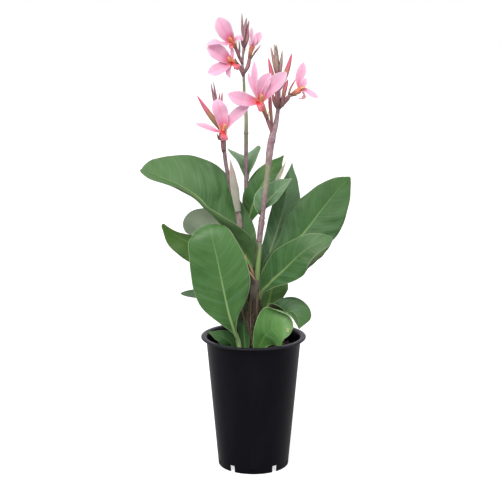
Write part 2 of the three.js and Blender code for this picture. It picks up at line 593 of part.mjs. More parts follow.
// A bloom's cup runs from its stalklet to its mouth, where the petals stand. In the mouth is the throat, from
// which the curled lip and the style come. Each rib is given from the mouth outwards; the mouth is its first
// point.
const FRONT = [0, -1, 0.25];
const PETAL_SHAPE = [4, 8, 10, 7.5];
const BLOOMS = {
  left: {
    cup: { path: [[-52, -23, 581], [-52, -27, 589], [-51, -31, 597]], radii: [4.2, 6.4, 6] },
    petals: [
      { rib: [[-54, -35, 624], [-59, -38, 640], [-61, -33, 651]], half: 13, foldLeft: 6, curlLeft: 16 },
      { rib: [[-60, -24, 626], [-67, -20, 647]], half: 8, foldLeft: 4, curlLeft: 10 },
      { rib: [[-35, -34, 620], [-21, -38, 632], [-8, -36, 640]], half: 9, foldLeft: 4, curlLeft: 14 },
      { rib: [[-62, -36, 597], [-80, -38, 604], [-98, -37, 610]], half: 7.5, face: [0.2, -0.55, 0.8],
        foldLeft: 14, curlLeft: 10 },
    ],
    lip: { rib: [[-51.5, -39, 593], [-52, -41, 587], [-52, -38, 581]], half: 6.4, foldLeft: -6, curlLeft: -20,
      face: [0, -0.8, 0.6] },
    style: [[-50, -37, 603], [-49, -40, 610]],
  },
  centre: {
    cup: {
      path: [[22.5, -19.5, 617.5], [19, -23, 627], [15, -27, 637], [10, -30, 646]],
      radii: [3, 3.8, 5, 5.6],
    },
    petals: [
      { rib: [[-10, -40, 649], [-28, -47, 654], [-43, -48, 660]], half: 12.5, foldLeft: 4, curlLeft: 24 },
      { rib: [[2, -34, 672], [1, -36, 694], [1, -33, 713]], half: 5.8, foldLeft: 4, curlLeft: 24 },
      { rib: [[-1, -26, 668], [-7, -24, 684], [-9, -22, 694]], half: 4.4, foldLeft: 10, curlLeft: 20 },
      { rib: [[13, -39, 668], [19, -44, 682], [28, -43, 694]], half: 11, foldLeft: 6, curlLeft: 26 },
      { rib: [[27, -43, 668], [41, -50, 683], [54, -50, 696]], half: 12.5, foldLeft: 4, curlLeft: 24 },
    ],
    lip: { rib: [[7, -42, 642], [10, -45, 636], [14, -43, 631]], half: 5.4, foldLeft: -8, curlLeft: -24,
      face: [-0.3, -0.8, 0.5] },
    style: [[12, -38, 652], [13, -43, 659]],
  },
  right: {
    cup: {
      path: [[62.2, -9.3, 655.8], [66.5, -10, 658], [72, -11, 661], [78, -12, 664]],
      radii: [2.8, 3.8, 5, 4.8],
    },
    petals: [
      { rib: [[77, -12, 684], [81, -12, 698], [84, -10, 711]], half: 8, foldLeft: 4, curlLeft: 12 },
      { rib: [[81, -16, 671], [85, -18, 679], [88, -16, 685]], half: 6, foldLeft: 4, curlLeft: 10 },
      { rib: [[88, -15, 664], [98, -18, 658], [109, -18, 652]], half: 6.2, foldLeft: 6, curlLeft: 10,
        face: [0.1, -0.8, 0.6] },
    ],
    lip: {
      rib: [[85, -18, 658], [82, -20, 652], [75, -19, 651]], half: 2.2, curlLeft: -10, face: [0.3, -0.8, 0.4],
    },
    style: [[80, -17, 668], [86, -18, 670]],
  },
  rear_upper: {
    cup: { path: [[-31, 23, 734], [-33, 20, 738], [-36, 15, 743]], radii: [2.8, 3.6, 4.6] },
    petals: [
      { rib: [[-46, 5, 758], [-53, 1, 771], [-60, 2, 784]], half: 14, foldLeft: 4, curlLeft: 24 },
      { rib: [[-27, 14, 751], [-21, 16, 751], [-18, 18, 746]], half: 4.6, curlLeft: -12,
        face: [0.2, -0.8, 0.5] },
      { rib: [[-50, 0, 741], [-64, -10, 744], [-79, -12, 740]], half: 7, face: [0, -0.6, 0.8], foldLeft: 10 },
    ],
    lip: { rib: [[-38, 7, 739], [-39, 4, 735], [-38, 4, 732]], half: 4.4, foldLeft: -6, curlLeft: -14,
      face: [0, -0.8, 0.5] },
    style: [[-39, 6, 747], [-41, 2, 752]],
  },
  rear_lower: {
    cup: { path: [[-30, 20, 709], [-33, 15, 711], [-37, 11, 711]], radii: [3, 3.8, 5] },
    petals: [
      { rib: [[-52, 0, 721], [-65, -5, 730], [-78, -6, 737]], half: 13.5, foldLeft: 4, curlLeft: 14 },
      { rib: [[-52, 0, 703], [-66, -5, 697], [-78, -5, 693]], half: 10.4, foldLeft: 4, curlLeft: 12 },
      { rib: [[-43, 4, 696], [-40, 3, 683]], half: 4.6, round: 0.4 },
      { rib: [[-36, 9, 721], [-37, 9, 735]], half: 3.6, curlLeft: 10, round: 0.4 },
    ],
    lip: { rib: [[-33, 3, 706], [-29, 1, 701], [-27, 4, 697]], half: 4.2, foldLeft: -4, curlLeft: -14,
      face: [0.2, -0.9, 0.2] },
    style: [[-41, 1, 714], [-43, -2, 719]],
  },
  rear_opening: {
    cup: { path: [[-7, 27, 717], [-5, 26, 727], [-2, 25, 737]], radii: [3, 3.5, 4.8] },
    petals: [
      { rib: [[3, 22, 744], [8, 21, 753], [12, 23, 760]], half: 6.8, foldLeft: 8, curlLeft: 20 },
      { rib: [[-3, 30, 750], [-4, 31, 768]], half: 3, foldLeft: 10, curlLeft: 10 },
      { rib: [[1, 18, 744], [3, 17, 754]], half: 4.6, foldLeft: 8, curlLeft: 20 },
      { rib: [[-5, 19, 738], [-7, 17, 748]], half: 2.4, round: 0.5 },
    ],
  },
};

/** The petals of a bloom on their cup, and the throat that stands in the cup's mouth. */
function bloom({ cup: { path, radii }, petals, lip, style }) {
  const mouth = path.at(-1);
  const shape = ({ half, rib, ...rest }) => ({
    face: FRONT, round: 0.3, ...rest, rib: [mouth, ...rib],
    left: PETAL_SHAPE.map((width) => (width * half) / 10),
  });
  const rim = radii.at(-1);
  const whole = fuse([tube(path, radii, { sides: 7, steps: 3 }), ...petals.map((spec) => petal(shape(spec)))]);
  if (!lip) return [whole];
  const from = vector(mouth).lerp(vector(path.at(-2)), 0.7).toArray();
  const ahead = vector(mouth).sub(vector(path.at(-2))).setLength(3.2).add(vector(mouth)).toArray();
  const plug = (grow) =>
    tube([from, mouth, ahead], [rim * 0.3, rim * 0.62, rim * 0.5], { sides: 6, steps: 2, grow });
  const throat = fuse([
    plug(0),
    petal({ ...shape(lip), rib: [ahead, ...lip.rib] }),
    tube([from, ...style], [1.6, 1.5, 1.1], { sides: 5, steps: 3 }),
  ]);
  const room = fuse([
    plug(GAP),
    petal({ ...shape(lip), rib: [ahead, ...lip.rib] }, GAP),
    tube([from, ...style], [1.6, 1.5, 1.1], { sides: 5, steps: 3, grow: GAP }),
  ]);
  return [cut(whole, room), throat];
}

// ---------------------------------------------------------------- bracts and old sheaths

const BRACTS = {
  bract_left: {
    rib: [[-26, -21, 458], [-30, -21.5, 486], [-34, -21, 512], [-40, -15, 547]],
    face: [0, 1, 0], left: [6, 8, 8, 5, 1], right: [5, 7, 7, 5, 1], foldLeft: [20, 16, 12],
    foldRight: 0, curlLeft: [60, 50, 30], curlRight: 8, rows: 7,
  },
  young_leaf: {
    rib: [[19, 2, 456], [30, 20, 484], [43, 26, 506], [56, 31, 538]],
    face: [-0.5, -1, 0], left: [2, 6, 7, 5, 1], foldLeft: [30, 30, 20], curlLeft: [50, 50, 40], rows: 6,
  },
};

// A dead leaf base still wraps the foot of the front stalk, torn off unevenly at the top.
const OLD_SHEATH = { foot: 216, heights: [300, 322, 276, 316, 290, 326, 284, 310, 268, 320, 294], wall: 1.6 };

function oldSheath(grow = 0) {
  const { foot, heights, wall } = OLD_SHEATH;
  const curve = curveOf(STALKS.main.path);
  const [low, high] = [STALKS.main.path[0][2], STALKS.main.path.at(-1)[2]];
  const ring = (top, flare) => heights.map((height, i) => {
    const z = top ? height + grow : foot - grow;
    const t = (z - low) / (high - low);
    const centre = curve.getPointAt(t);
    const radius = along(STALKS.main.radii, t) + wall + flare + grow;
    const turn = (2 * Math.PI * i) / heights.length;
    return new THREE.Vector3(centre.x + radius * Math.cos(turn), centre.y + radius * Math.sin(turn), z);
  });
  return loft([ring(false, 0), ring(true, 0.8)]);
}

// ---------------------------------------------------------------- the plant

const plant = new THREE.Group();

function add(name, solid, [colour, roughness]) {
  const material = new THREE.MeshStandardMaterial({ color: colour, roughness, metalness: 0 });
  const mesh = new THREE.Mesh(geometryOf(simplified(solid)), material);
  mesh.name = name;
  plant.add(mesh);
}

const leafSpace = ROOTED.map((name) => leaf(LEAVES[name], 2 * GAP));
add("pot", pot(), COLOURS.pot);
add("potting_mix", pottingMix([stalkSpace, ...leafSpace]), COLOURS.soil);
add("stalk_front", front(0), COLOURS.stalk);
add("stalk_rear", rear(0), COLOURS.stalk);
for (const [name, spec] of Object.entries(LEAVES)) {
  add(name, cut(leaf(spec), stalkSpace, oldSheath(GAP)), COLOURS.leaf);
}
for (const [name, spec] of Object.entries(BRACTS)) add(name, cut(petal(spec), stalkSpace), COLOURS.stalk);
add("old_sheath", cut(oldSheath(), stalkSpace), COLOURS.dry);
for (const [name, spec] of Object.entries(HEADS)) {
  add(`head_${name}`, cut(head(spec), stalkSpace), COLOURS.head);
}
for (const [name, spec] of Object.entries(BLOOMS)) {
  const [petals, throat] = bloom(spec);
  add(`bloom_${name}`, petals, COLOURS.petal);
  if (throat) add(`throat_${name}`, throat, COLOURS.throat);
}

export default plant;
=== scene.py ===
"""A potted canna lily in flower: fine surfaces and finishes around the fixed frame.

Shapes are given in millimetres and turned to metres as each mesh is made. +Z is up, the origin is the
middle of the pot's underside, and -Y is the clump's front, where the blooms and the largest upright leaf
face.
"""

import logging
import math
from collections.abc import Callable, Sequence
from dataclasses import dataclass, field, replace
from enum import Enum
from functools import cache, cached_property
from typing import Any, Protocol

import bpy
import numpy as np
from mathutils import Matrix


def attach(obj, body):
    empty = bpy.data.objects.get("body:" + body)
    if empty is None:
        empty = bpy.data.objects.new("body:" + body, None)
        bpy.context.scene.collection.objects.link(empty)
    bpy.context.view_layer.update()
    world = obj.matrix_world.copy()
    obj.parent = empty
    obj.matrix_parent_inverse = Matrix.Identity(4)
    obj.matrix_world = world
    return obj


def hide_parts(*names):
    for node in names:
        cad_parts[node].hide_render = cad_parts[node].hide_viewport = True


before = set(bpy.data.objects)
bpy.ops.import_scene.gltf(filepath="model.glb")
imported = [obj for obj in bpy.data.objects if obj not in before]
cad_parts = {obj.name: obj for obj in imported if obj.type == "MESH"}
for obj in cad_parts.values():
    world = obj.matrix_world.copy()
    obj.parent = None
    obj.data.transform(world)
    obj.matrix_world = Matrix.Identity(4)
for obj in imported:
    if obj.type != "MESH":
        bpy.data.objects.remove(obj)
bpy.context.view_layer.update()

log = logging.getLogger("canna")

MM = 0.001
WELD = 2e-6  # metres, under which points of one surface are the same
BODY = "root"

Array = np.ndarray
Point = tuple[float, float, float]
Points = tuple[Point, ...]
Sizes = float | tuple[float, ...]
Stops = tuple[tuple[float, str], ...]
Piece = bpy.types.Object
Socket = bpy.types.NodeSocket
Tree = bpy.types.NodeTree
Form = Callable[[Array, Array], tuple[Array, Array, Array]]


# ---------------------------------------------------------------- numbers along a line


def unit(vectors: Array) -> Array:
    """The vectors scaled to length one."""
    return vectors / np.maximum(np.linalg.norm(vectors, axis=-1, keepdims=True), 1e-12)


def along(values: Sizes, share: Array) -> Array:
    """A smooth line through equally spaced values.

    Args:
        values: one value, or several at equal steps.
        share: where to read it, from 0 to 1.

    Returns:
        The value at each share.
    """
    known = np.atleast_1d(np.asarray(values, float))
    share = np.asarray(share, float)
    if known.size == 1:
        return np.full(share.shape, known[0])
    last = known.size - 1
    at = np.clip(share, 0, 1) * last
    i = np.minimum(at.astype(int), last - 1)
    a, b, c, d = (known[np.clip(i + k, 0, last)] for k in (-1, 0, 1, 2))
    f = at - i
    return b + 0.5 * f * (c - a + f * (2 * a - 5 * b + 4 * c - d + f * (3 * (b - c) + d - a)))


def ease(value: Array, low: float, high: float) -> Array:
    """A smooth step from 0 at low to 1 at high."""
    t = np.clip((value - low) / (high - low), 0, 1)
    return t * t * (3 - 2 * t)


class Path:
    """A smooth line through points, as a centripetal Catmull-Rom curve read by its own length."""

    STEPS = 48

    def __init__(self, points: Points) -> None:
        """Samples the line.

        Args:
            points: the points that it passes, in millimetres.
        """
        known = np.array(points, float)
        known = np.vstack([2 * known[0] - known[1], known, 2 * known[-1] - known[-2]])
        f = np.linspace(0, 1, self.STEPS, endpoint=False)[:, None]
        spans = [self._span(*known[i : i + 4], f) for i in range(len(points) - 1)]
        self.places = np.vstack([*spans, known[-2:-1]])
        steps = np.linalg.norm(np.diff(self.places, axis=0), axis=1)
        self.length = float(steps.sum())
        self.shares = np.concatenate([[0.0], np.cumsum(steps)]) / self.length
        self.ways = unit(np.gradient(self.places, self.shares, axis=0))

    @staticmethod
    def _span(a: Array, b: Array, c: Array, d: Array, f: Array) -> Array:
        """The points between b and c at the fractions f.

        Args:
            a, b, c, d: four points in a row.
            f: shares of the way from b to c.

        Returns:
            The points, as rows.
        """
        ab, bc, cd = (math.sqrt(float(np.linalg.norm(q - p))) for p, q in ((a, b), (b, c), (c, d)))
        start = ((b - a) / ab - (c - a) / (ab + bc) + (c - b) / bc) * bc
        end = ((c - b) / bc - (d - b) / (bc + cd) + (d - c) / cd) * bc
        return b + f * (start + f * (3 * (c - b) - 2 * start - end + f * (2 * (b - c) + start + end)))

    def _read(self, table: Array, share: Array) -> Array:
        """Rows of a table at shares of the length."""
        return np.stack([np.interp(share, self.shares, table[:, k]) for k in range(3)], axis=-1)

    def point(self, share: Array) -> Array:
        """Points at shares of the length, in millimetres."""
        return self._read(self.places, share)

    def way(self, share: Array) -> Array:
        """Directions at shares of the length."""
        return unit(self._read(self.ways, share))

    def frames(self, shares: Array) -> tuple[Array, Array]:
        """Two directions across the line that turn as little as they can along it.

        Args:
            shares: rising shares of the length.

        Returns:
            The two directions at each share.
        """
        ways = self.way(shares)
        first = np.cross(ways[0], (0.0, 1.0, 0.0) if abs(ways[0][1]) < 0.9 else (1.0, 0.0, 0.0))
        across = [unit(first)]
        for way in ways[1:]:
            across.append(unit(across[-1] - way * float(np.dot(across[-1], way))))
        return np.array(across), np.cross(ways, np.array(across))


# ---------------------------------------------------------------- meshes


def deselect() -> None:
    """Leaves nothing selected."""
    bpy.ops.object.select_all(action="DESELECT")


def select_only(piece: Piece) -> None:
    """Selects one object and makes it active.

    Args:
        piece: the object.
    """
    deselect()
    piece.select_set(True)
    bpy.context.view_layer.objects.active = piece


def places_of(piece: Piece) -> Array:
    """Where a mesh's vertices are, as rows.

    Args:
        piece: the object.

    Returns:
        A row of x, y, z for each vertex, in metres.
    """
    flat = np.empty(len(piece.data.vertices) * 3)
    piece.data.vertices.foreach_get("co", flat)
    return flat.reshape(-1, 3)


def mark(piece: Piece, name: str, values: Array) -> None:
    """Stores a row of three numbers for each vertex, which the finishes read."""
    made = piece.data.attributes.new(name, "FLOAT_VECTOR", "POINT")
    made.data.foreach_set("vector", np.ascontiguousarray(values, dtype=np.float32).ravel())


def even(piece: Piece, value: float) -> Piece:
    """The piece with one value all over as the second number of "place".

    Args:
        piece: a skin that carries "place".
        value: the number.

    Returns:
        The same object.
    """
    held = piece.data.attributes["place"].data
    flat = np.empty(len(held) * 3, np.float32)
    held.foreach_get("vector", flat)
    flat[1::3] = value
    held.foreach_set("vector", flat)
    return piece


def grown(name: str, columns: int, rows: int, form: Form) -> Piece:
    """Adds a flat grid and moves each of its points to its place.

    Args:
        name: the object's name.
        columns: faces across.
        rows: faces along.
        form: takes shares across and along, and gives places in millimetres and the rows "grain" and "place".

    Returns:
        The shaped object.
    """
    deselect()
    bpy.ops.mesh.primitive_grid_add(x_subdivisions=columns, y_subdivisions=rows, size=1.0)
    piece = bpy.context.object
    piece.name = piece.data.name = name
    flat = places_of(piece) + 0.5
    places, grain, place = form(np.clip(flat[:, 0], 0, 1), np.clip(flat[:, 1], 0, 1))
    piece.data.vertices.foreach_set("co", (places * MM).ravel())
    mark(piece, "grain", grain)
    mark(piece, "place", place)
    piece.data.update()
    bpy.ops.object.shade_smooth()
    return piece


def seal(piece: Piece) -> None:
    """Closes seams and poles of a shape that was rolled up from a grid, and turns its faces outwards.

    Args:
        piece: the object.
    """
    select_only(piece)
    bpy.ops.object.mode_set(mode="EDIT")
    bpy.ops.mesh.select_all(action="SELECT")
    bpy.ops.mesh.remove_doubles(threshold=WELD)
    bpy.ops.mesh.normals_make_consistent(inside=False)
    bpy.ops.object.mode_set(mode="OBJECT")


def thicken(piece: Piece, thickness: Array) -> None:
    """Gives an open skin its own thickness at each vertex, on the side away from its normals.

    Args:
        piece: the skin. Its second material, if it has one, goes to the new side.
        thickness: millimetres at each vertex.
    """
    most = float(thickness.max())
    group = piece.vertex_groups.new(name="thickness")
    for index, value in enumerate(thickness / most):
        group.add([index], float(value), "REPLACE")
    select_only(piece)
    solid = piece.modifiers.new("thickness", "SOLIDIFY")
    solid.thickness = most * MM
    solid.offset = -1
    solid.vertex_group = group.name
    solid.material_offset = solid.material_offset_rim = max(len(piece.data.materials) - 1, 0)
    bpy.ops.object.modifier_apply(modifier=solid.name)
    piece.vertex_groups.clear()


def joined(pieces: Sequence[Piece], name: str) -> Piece:
    """Joins objects into one, under a name.

    Args:
        pieces: the objects.
        name: of the whole.

    Returns:
        The whole.
    """
    select_only(pieces[0])
    for piece in pieces:
        piece.select_set(True)
    if len(pieces) > 1:
        bpy.ops.object.join()
    pieces[0].name = pieces[0].data.name = name
    return pieces[0]


def place(piece: Piece, node: str, slot: str) -> Piece:
    """Puts a finished piece in the frame in a CAD node's stead.

    Args:
        piece: the finished piece, at its place.
        node: the CAD node that it stands for.
        slot: the record's material slot; not used.

    Returns:
        The piece.
    """
    piece.name = piece.data.name = f"{node}_fine"
    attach(piece, BODY)
    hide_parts(node)
    log.info("%s: %d faces", piece.name, len(piece.data.polygons))
    return piece


# ---------------------------------------------------------------- finishes


def linear(colour: str) -> tuple[float, float, float, float]:
    """An sRGB hex colour, such as "#4a7d3c", as linear red, green, blue and alpha."""
    shares = [int(colour[i : i + 2], 16) / 255 for i in (1, 3, 5)]
    return (*(c / 12.92 if c <= 0.04045 else ((c + 0.055) / 1.055) ** 2.4 for c in shares), 1.0)


def add_node(
    tree: Tree,
    kind: str,
    settings: dict[str, Any] | None = None,
    inputs: dict[str | int, Any] | None = None,
    stops: Stops = (),
) -> bpy.types.Node:
    """Adds a node with its settings and links.

    Args:
        tree: the material's or world's nodes.
        kind: the node's type.
        settings: its own properties.
        inputs: a value or another node's output for each of its inputs, by name or index.
        stops: places and sRGB colours of a colour ramp.

    Returns:
        The new node.
    """
    node = tree.nodes.new(kind)
    for name, value in (settings or {}).items():
        setattr(node, name, value)
    for key, value in (inputs or {}).items():
        if isinstance(value, Socket):
            tree.links.new(value, node.inputs[key])
        else:
            node.inputs[key].default_value = value
    for index, (position, colour) in enumerate(stops):
        elements = node.color_ramp.elements
        element = elements[index] if index < len(elements) else elements.new(position)
        element.position = position
        element.color = linear(colour)
    return node


def new_material(name: str) -> tuple[bpy.types.Material, Tree]:
    """An empty material and its nodes.

    Args:
        name: the finish's name.

    Returns:
        The material, and its node tree without nodes.
    """
    material = bpy.data.materials.new(name)
    material.use_nodes = True
    material.node_tree.nodes.clear()
    return material, material.node_tree


def read_marks(tree: Tree, name: str) -> tuple[Socket, Socket, Socket]:
    """The three numbers that a piece's vertices hold under a name.

    Args:
        tree: the material's nodes.
        name: of the marks.

    Returns:
        Their sockets.
    """
    held = add_node(tree, "ShaderNodeAttribute", {"attribute_name": name})
    split = add_node(tree, "ShaderNodeSeparateXYZ", inputs={0: held.outputs["Vector"]})
    return split.outputs[0], split.outputs[1], split.outputs[2]


def drawn_noise(
    tree: Tree, where: Socket, scale: float | Point, detail: float, roughness: float = 0.5
) -> Socket:
    """Uneven values round 0.5 that may be drawn out along an axis.

    Args:
        tree: the material's nodes.
        where: the place at which they are read.
        scale: how often they change over one unit of the place, for all axes or for each.
        detail: how many finer layers they have.
        roughness: how strong the finer layers are.

    Returns:
        The values.
    """
    scales = scale if isinstance(scale, tuple) else (scale, scale, scale)
    drawn = add_node(tree, "ShaderNodeMapping", inputs={"Vector": where, "Scale": scales})
    reading = {"Vector": drawn.outputs[0], "Scale": 1.0, "Detail": detail, "Roughness": roughness}
    return add_node(tree, "ShaderNodeTexNoise", inputs=reading).outputs["Fac"]


def tint(
    tree: Tree,
    colour: Socket | str,
    other: Socket | str,
    cause: Socket,
    low: float = 0.0,
    high: float = 1.0,
    most: float = 1.0,
    smooth: bool = False,
) -> Socket:
    """Turns a colour towards another one as its cause goes from low to high.

    Args:
        tree: the material's nodes.
        colour: the colour at low, as a socket or an sRGB hex colour.
        other: the colour that it turns towards.
        cause: what decides how far it turns.
        low: where it starts. It may be more than high, for a cause that falls.
        high: where it has gone as far as it goes.
        most: how far that is, from 0 to 1.
        smooth: whether it starts and ends gently.

    Returns:
        The mixed colour.
    """
    share = add_node(
        tree,
        "ShaderNodeMapRange",
        {"interpolation_type": "SMOOTHSTEP" if smooth else "LINEAR"},
        {"Value": cause, "From Min": low, "From Max": high, "To Max": most},
    )
    sides = [linear(side) if isinstance(side, str) else side for side in (colour, other)]
    inputs = {0: share.outputs[0], 6: sides[0], 7: sides[1]}
    return add_node(tree, "ShaderNodeMix", {"data_type": "RGBA"}, inputs).outputs[2]


def surface(
    tree: Tree,
    colour: Socket,
    roughness: Socket | float,
    height: Socket,
    depth_mm: float,
    through: float = 0.0,
    **settings: Any,
) -> None:
    """Ends a material in one Principled shader, with a share of light that comes through.

    Args:
        tree: the material's nodes.
        colour: the surface colour.
        roughness: a value or a socket.
        height: the relief, from 0 to 1.
        depth_mm: the relief's depth.
        through: the share of light that passes the thin blade.
        settings: further inputs of the Principled shader, with _ for a space.
    """
    relief = {"Height": height, "Strength": 1.0, "Distance": depth_mm * MM}
    bump = add_node(tree, "ShaderNodeBump", inputs=relief)
    inputs = {"Base Color": colour, "Roughness": roughness, "Normal": bump.outputs[0]}
    inputs.update({name.replace("_", " "): value for name, value in settings.items()})
    shader = add_node(tree, "ShaderNodeBsdfPrincipled", inputs=inputs)
    if through:
        back = add_node(tree, "ShaderNodeBsdfTranslucent", inputs={"Color": colour})
        sides = {0: through, 1: shader.outputs[0], 2: back.outputs[0]}
        shader = add_node(tree, "ShaderNodeMixShader", inputs=sides)
    add_node(tree, "ShaderNodeOutputMaterial", inputs={"Surface": shader.outputs[0]})


class Finish(Protocol):
    """What a piece is dressed with."""

    def build(self) -> list[bpy.types.Material]:
        """Makes the materials, the outer side's first."""


@cache
def materials_of(finish: Finish) -> tuple[bpy.types.Material, ...]:
    """The finish's materials, made once."""
    return tuple(finish.build())


def dress(piece: Piece, *finishes: Finish) -> None:
    """Gives a piece the materials of its finishes, in order."""
    for finish in finishes:
        for material in materials_of(finish):
            piece.data.materials.append(material)


@dataclass(frozen=True)
class LeafFinish:
    """Living canna leaf: a waxy upper side with sunken side veins, and a duller, greyer underside.

    The eye sees a pale midrib that fades to the tip, fine light and dark streaks that follow the side veins,
    a hair of pale margin, and a soft sheen that breaks on the veins. Part of the sheen is painted into the
    colour:
    bluish bands of painted highlight with painted shade between them, and a greyer tip.
    """

    name: str
    top: str = "#3f6a31"
    deep: str = "#2a4d1f"
    under: str = "#627a55"
    under_deep: str = "#4a6240"
    rib: str = "#8fb066"
    margin: str = "#75835f"
    tip: str = "#517840"
    sheen: str = "#557f5d"
    dry_spot: str = "#c9a878"
    stripe: float = 0.33  # how strongly the side veins show
    dry: float = 0.0  # how strongly the dry spots show
    roughness: float = 0.5
    through: float = 0.16
    vein_step_mm: float = 7.5  # between the stronger side veins

    def build(self) -> list[bpy.types.Material]:
        """The upper side's material and the underside's."""
        duller = self.roughness + 0.12
        upper = self._side(f"{self.name}_upper", self.top, self.deep, self.stripe, self.roughness)
        lower = self._side(f"{self.name}_underside", self.under, self.under_deep, 0.5 * self.stripe, duller)
        return [upper, lower]

    def _side(self, name: str, face: str, deep: str, stripe: float, roughness: float) -> bpy.types.Material:
        """One side of the leaf.

        Args:
            name: the material's name.
            face: its main colour.
            deep: its darker colour.
            stripe: how strongly the side veins show.
            roughness: its mean roughness.

        Returns:
            The material.
        """
        material, tree = new_material(name)
        vein, off_rib, off_margin = read_marks(tree, "grain")
        share, _, rib_width = read_marks(tree, "place")
        where = add_node(tree, "ShaderNodeTexCoord").outputs["Object"]
        follow = add_node(tree, "ShaderNodeCombineXYZ", inputs={0: vein, 1: off_rib, 2: share}).outputs[0]
        # Cloudy patches about 40 mm wide, as chlorophyll varies over a leaf.
        cloud = drawn_noise(tree, where, scale=26.0, detail=3.0)
        colour = tint(tree, deep, face, cloud, low=0.3, high=0.55)
        # Bands 5 to 10 mm wide of painted sheen: a bluish painted highlight on the swellings between the
        # veins, with painted shade between the swellings.
        band = drawn_noise(tree, follow, scale=(0.17, 0.014, 1.0), detail=2.0)
        painted_sheen = self.sheen if face == self.top else face
        colour = tint(tree, colour, painted_sheen, band, low=0.44, high=0.7, most=1.2 * stripe, smooth=True)
        colour = tint(tree, colour, deep, band, low=0.44, high=0.28, most=0.9 * stripe, smooth=True)
        # Streaks 1.5 mm wide and some 30 mm long, drawn out along the side veins.
        streak = drawn_noise(tree, follow, scale=(0.62, 0.035, 1.0), detail=4.0)
        colour = tint(tree, colour, deep, streak, low=0.32, high=0.68, most=stripe)
        colour = tint(tree, colour, self.tip, self._crests(tree, vein, streak), most=stripe)
        # Paler and greyer towards the tip: partly the tip's own tone and partly painted sheen.
        colour = tint(tree, colour, self.tip, share, low=0.45, high=1.0, most=0.6, smooth=True)
        colour = tint(tree, colour, self.rib, self._midrib(tree, off_rib, rib_width, share))
        colour = tint(tree, colour, self.margin, off_margin, low=1.7, high=0.5, most=0.75, smooth=True)
        if self.dry:
            drying = self._drying(tree, where, share)
            colour = tint(tree, colour, self.dry_spot, drying, low=0.78, high=0.86, most=self.dry)
        limits = {"Value": streak, "To Min": roughness - 0.1, "To Max": roughness + 0.1}
        shine = add_node(tree, "ShaderNodeMapRange", inputs=limits).outputs[0]
        surface(tree, colour, shine, height=streak, depth_mm=0.12, through=self.through, IOR=1.42)
        return material

    def _crests(self, tree: Tree, vein: Socket, streak: Socket) -> Socket:
        """Where the stronger side veins run, broken up by the streaks.

        Args:
            tree: the material's nodes.
            vein: how far along the rib each place's side vein starts.
            streak: noise drawn out along the veins.

        Returns:
            The share of crest, 0 to 1.
        """
        step = {0: vein, 1: 2 * math.pi / self.vein_step_mm}
        turns = add_node(tree, "ShaderNodeMath", {"operation": "MULTIPLY"}, step)
        swing = add_node(tree, "ShaderNodeMath", {"operation": "COSINE"}, {0: turns.outputs[0]})
        top = {"Value": swing.outputs[0], "From Min": 0.35, "From Max": 1.0}
        crest = add_node(tree, "ShaderNodeMapRange", {"interpolation_type": "SMOOTHSTEP"}, top)
        broken = {0: crest.outputs[0], 1: streak}
        return add_node(tree, "ShaderNodeMath", {"operation": "MULTIPLY"}, broken).outputs[0]

    def _midrib(self, tree: Tree, off_rib: Socket, rib_width: Socket, share: Socket) -> Socket:
        """Where the midrib is, fading from the leaf's foot to its tip.

        Args:
            tree: the material's nodes.
            off_rib: the distance from the midrib.
            rib_width: its width there.
            share: the share of the length.

        Returns:
            The share of midrib, 0 to 1.
        """
        beside = add_node(tree, "ShaderNodeMath", {"operation": "ABSOLUTE"}, {0: off_rib})
        widths = {0: beside.outputs[0], 1: rib_width}
        ratio = add_node(tree, "ShaderNodeMath", {"operation": "DIVIDE"}, widths)
        edge = {"Value": ratio.outputs[0], "From Min": 1.1, "From Max": 0.3}
        rib = add_node(tree, "ShaderNodeMapRange", {"interpolation_type": "SMOOTHSTEP"}, edge)
        fading = {"Value": share, "From Max": 0.95, "To Min": 1.0, "To Max": 0.1}
        left = add_node(tree, "ShaderNodeMapRange", inputs=fading)
        both = {0: rib.outputs[0], 1: left.outputs[0]}
        return add_node(tree, "ShaderNodeMath", {"operation": "MULTIPLY"}, both).outputs[0]

    def _drying(self, tree: Tree, where: Socket, share: Socket) -> Socket:
        """Specks that grow denser towards the tip.

        Args:
            tree: the material's nodes.
            where: the place on the blade.
            share: the share of the length.

        Returns:
            The share of dry specks, 0 to 1.
        """
        speck = drawn_noise(tree, where, scale=130.0, detail=5.0, roughness=0.65)
        outer = {"Value": share, "From Min": 0.62, "From Max": 1.0, "To Max": 0.26}
        near_tip = add_node(tree, "ShaderNodeMapRange", inputs=outer).outputs[0]
        return add_node(tree, "ShaderNodeMath", {"operation": "ADD"}, {0: speck, 1: near_tip}).outputs[0]


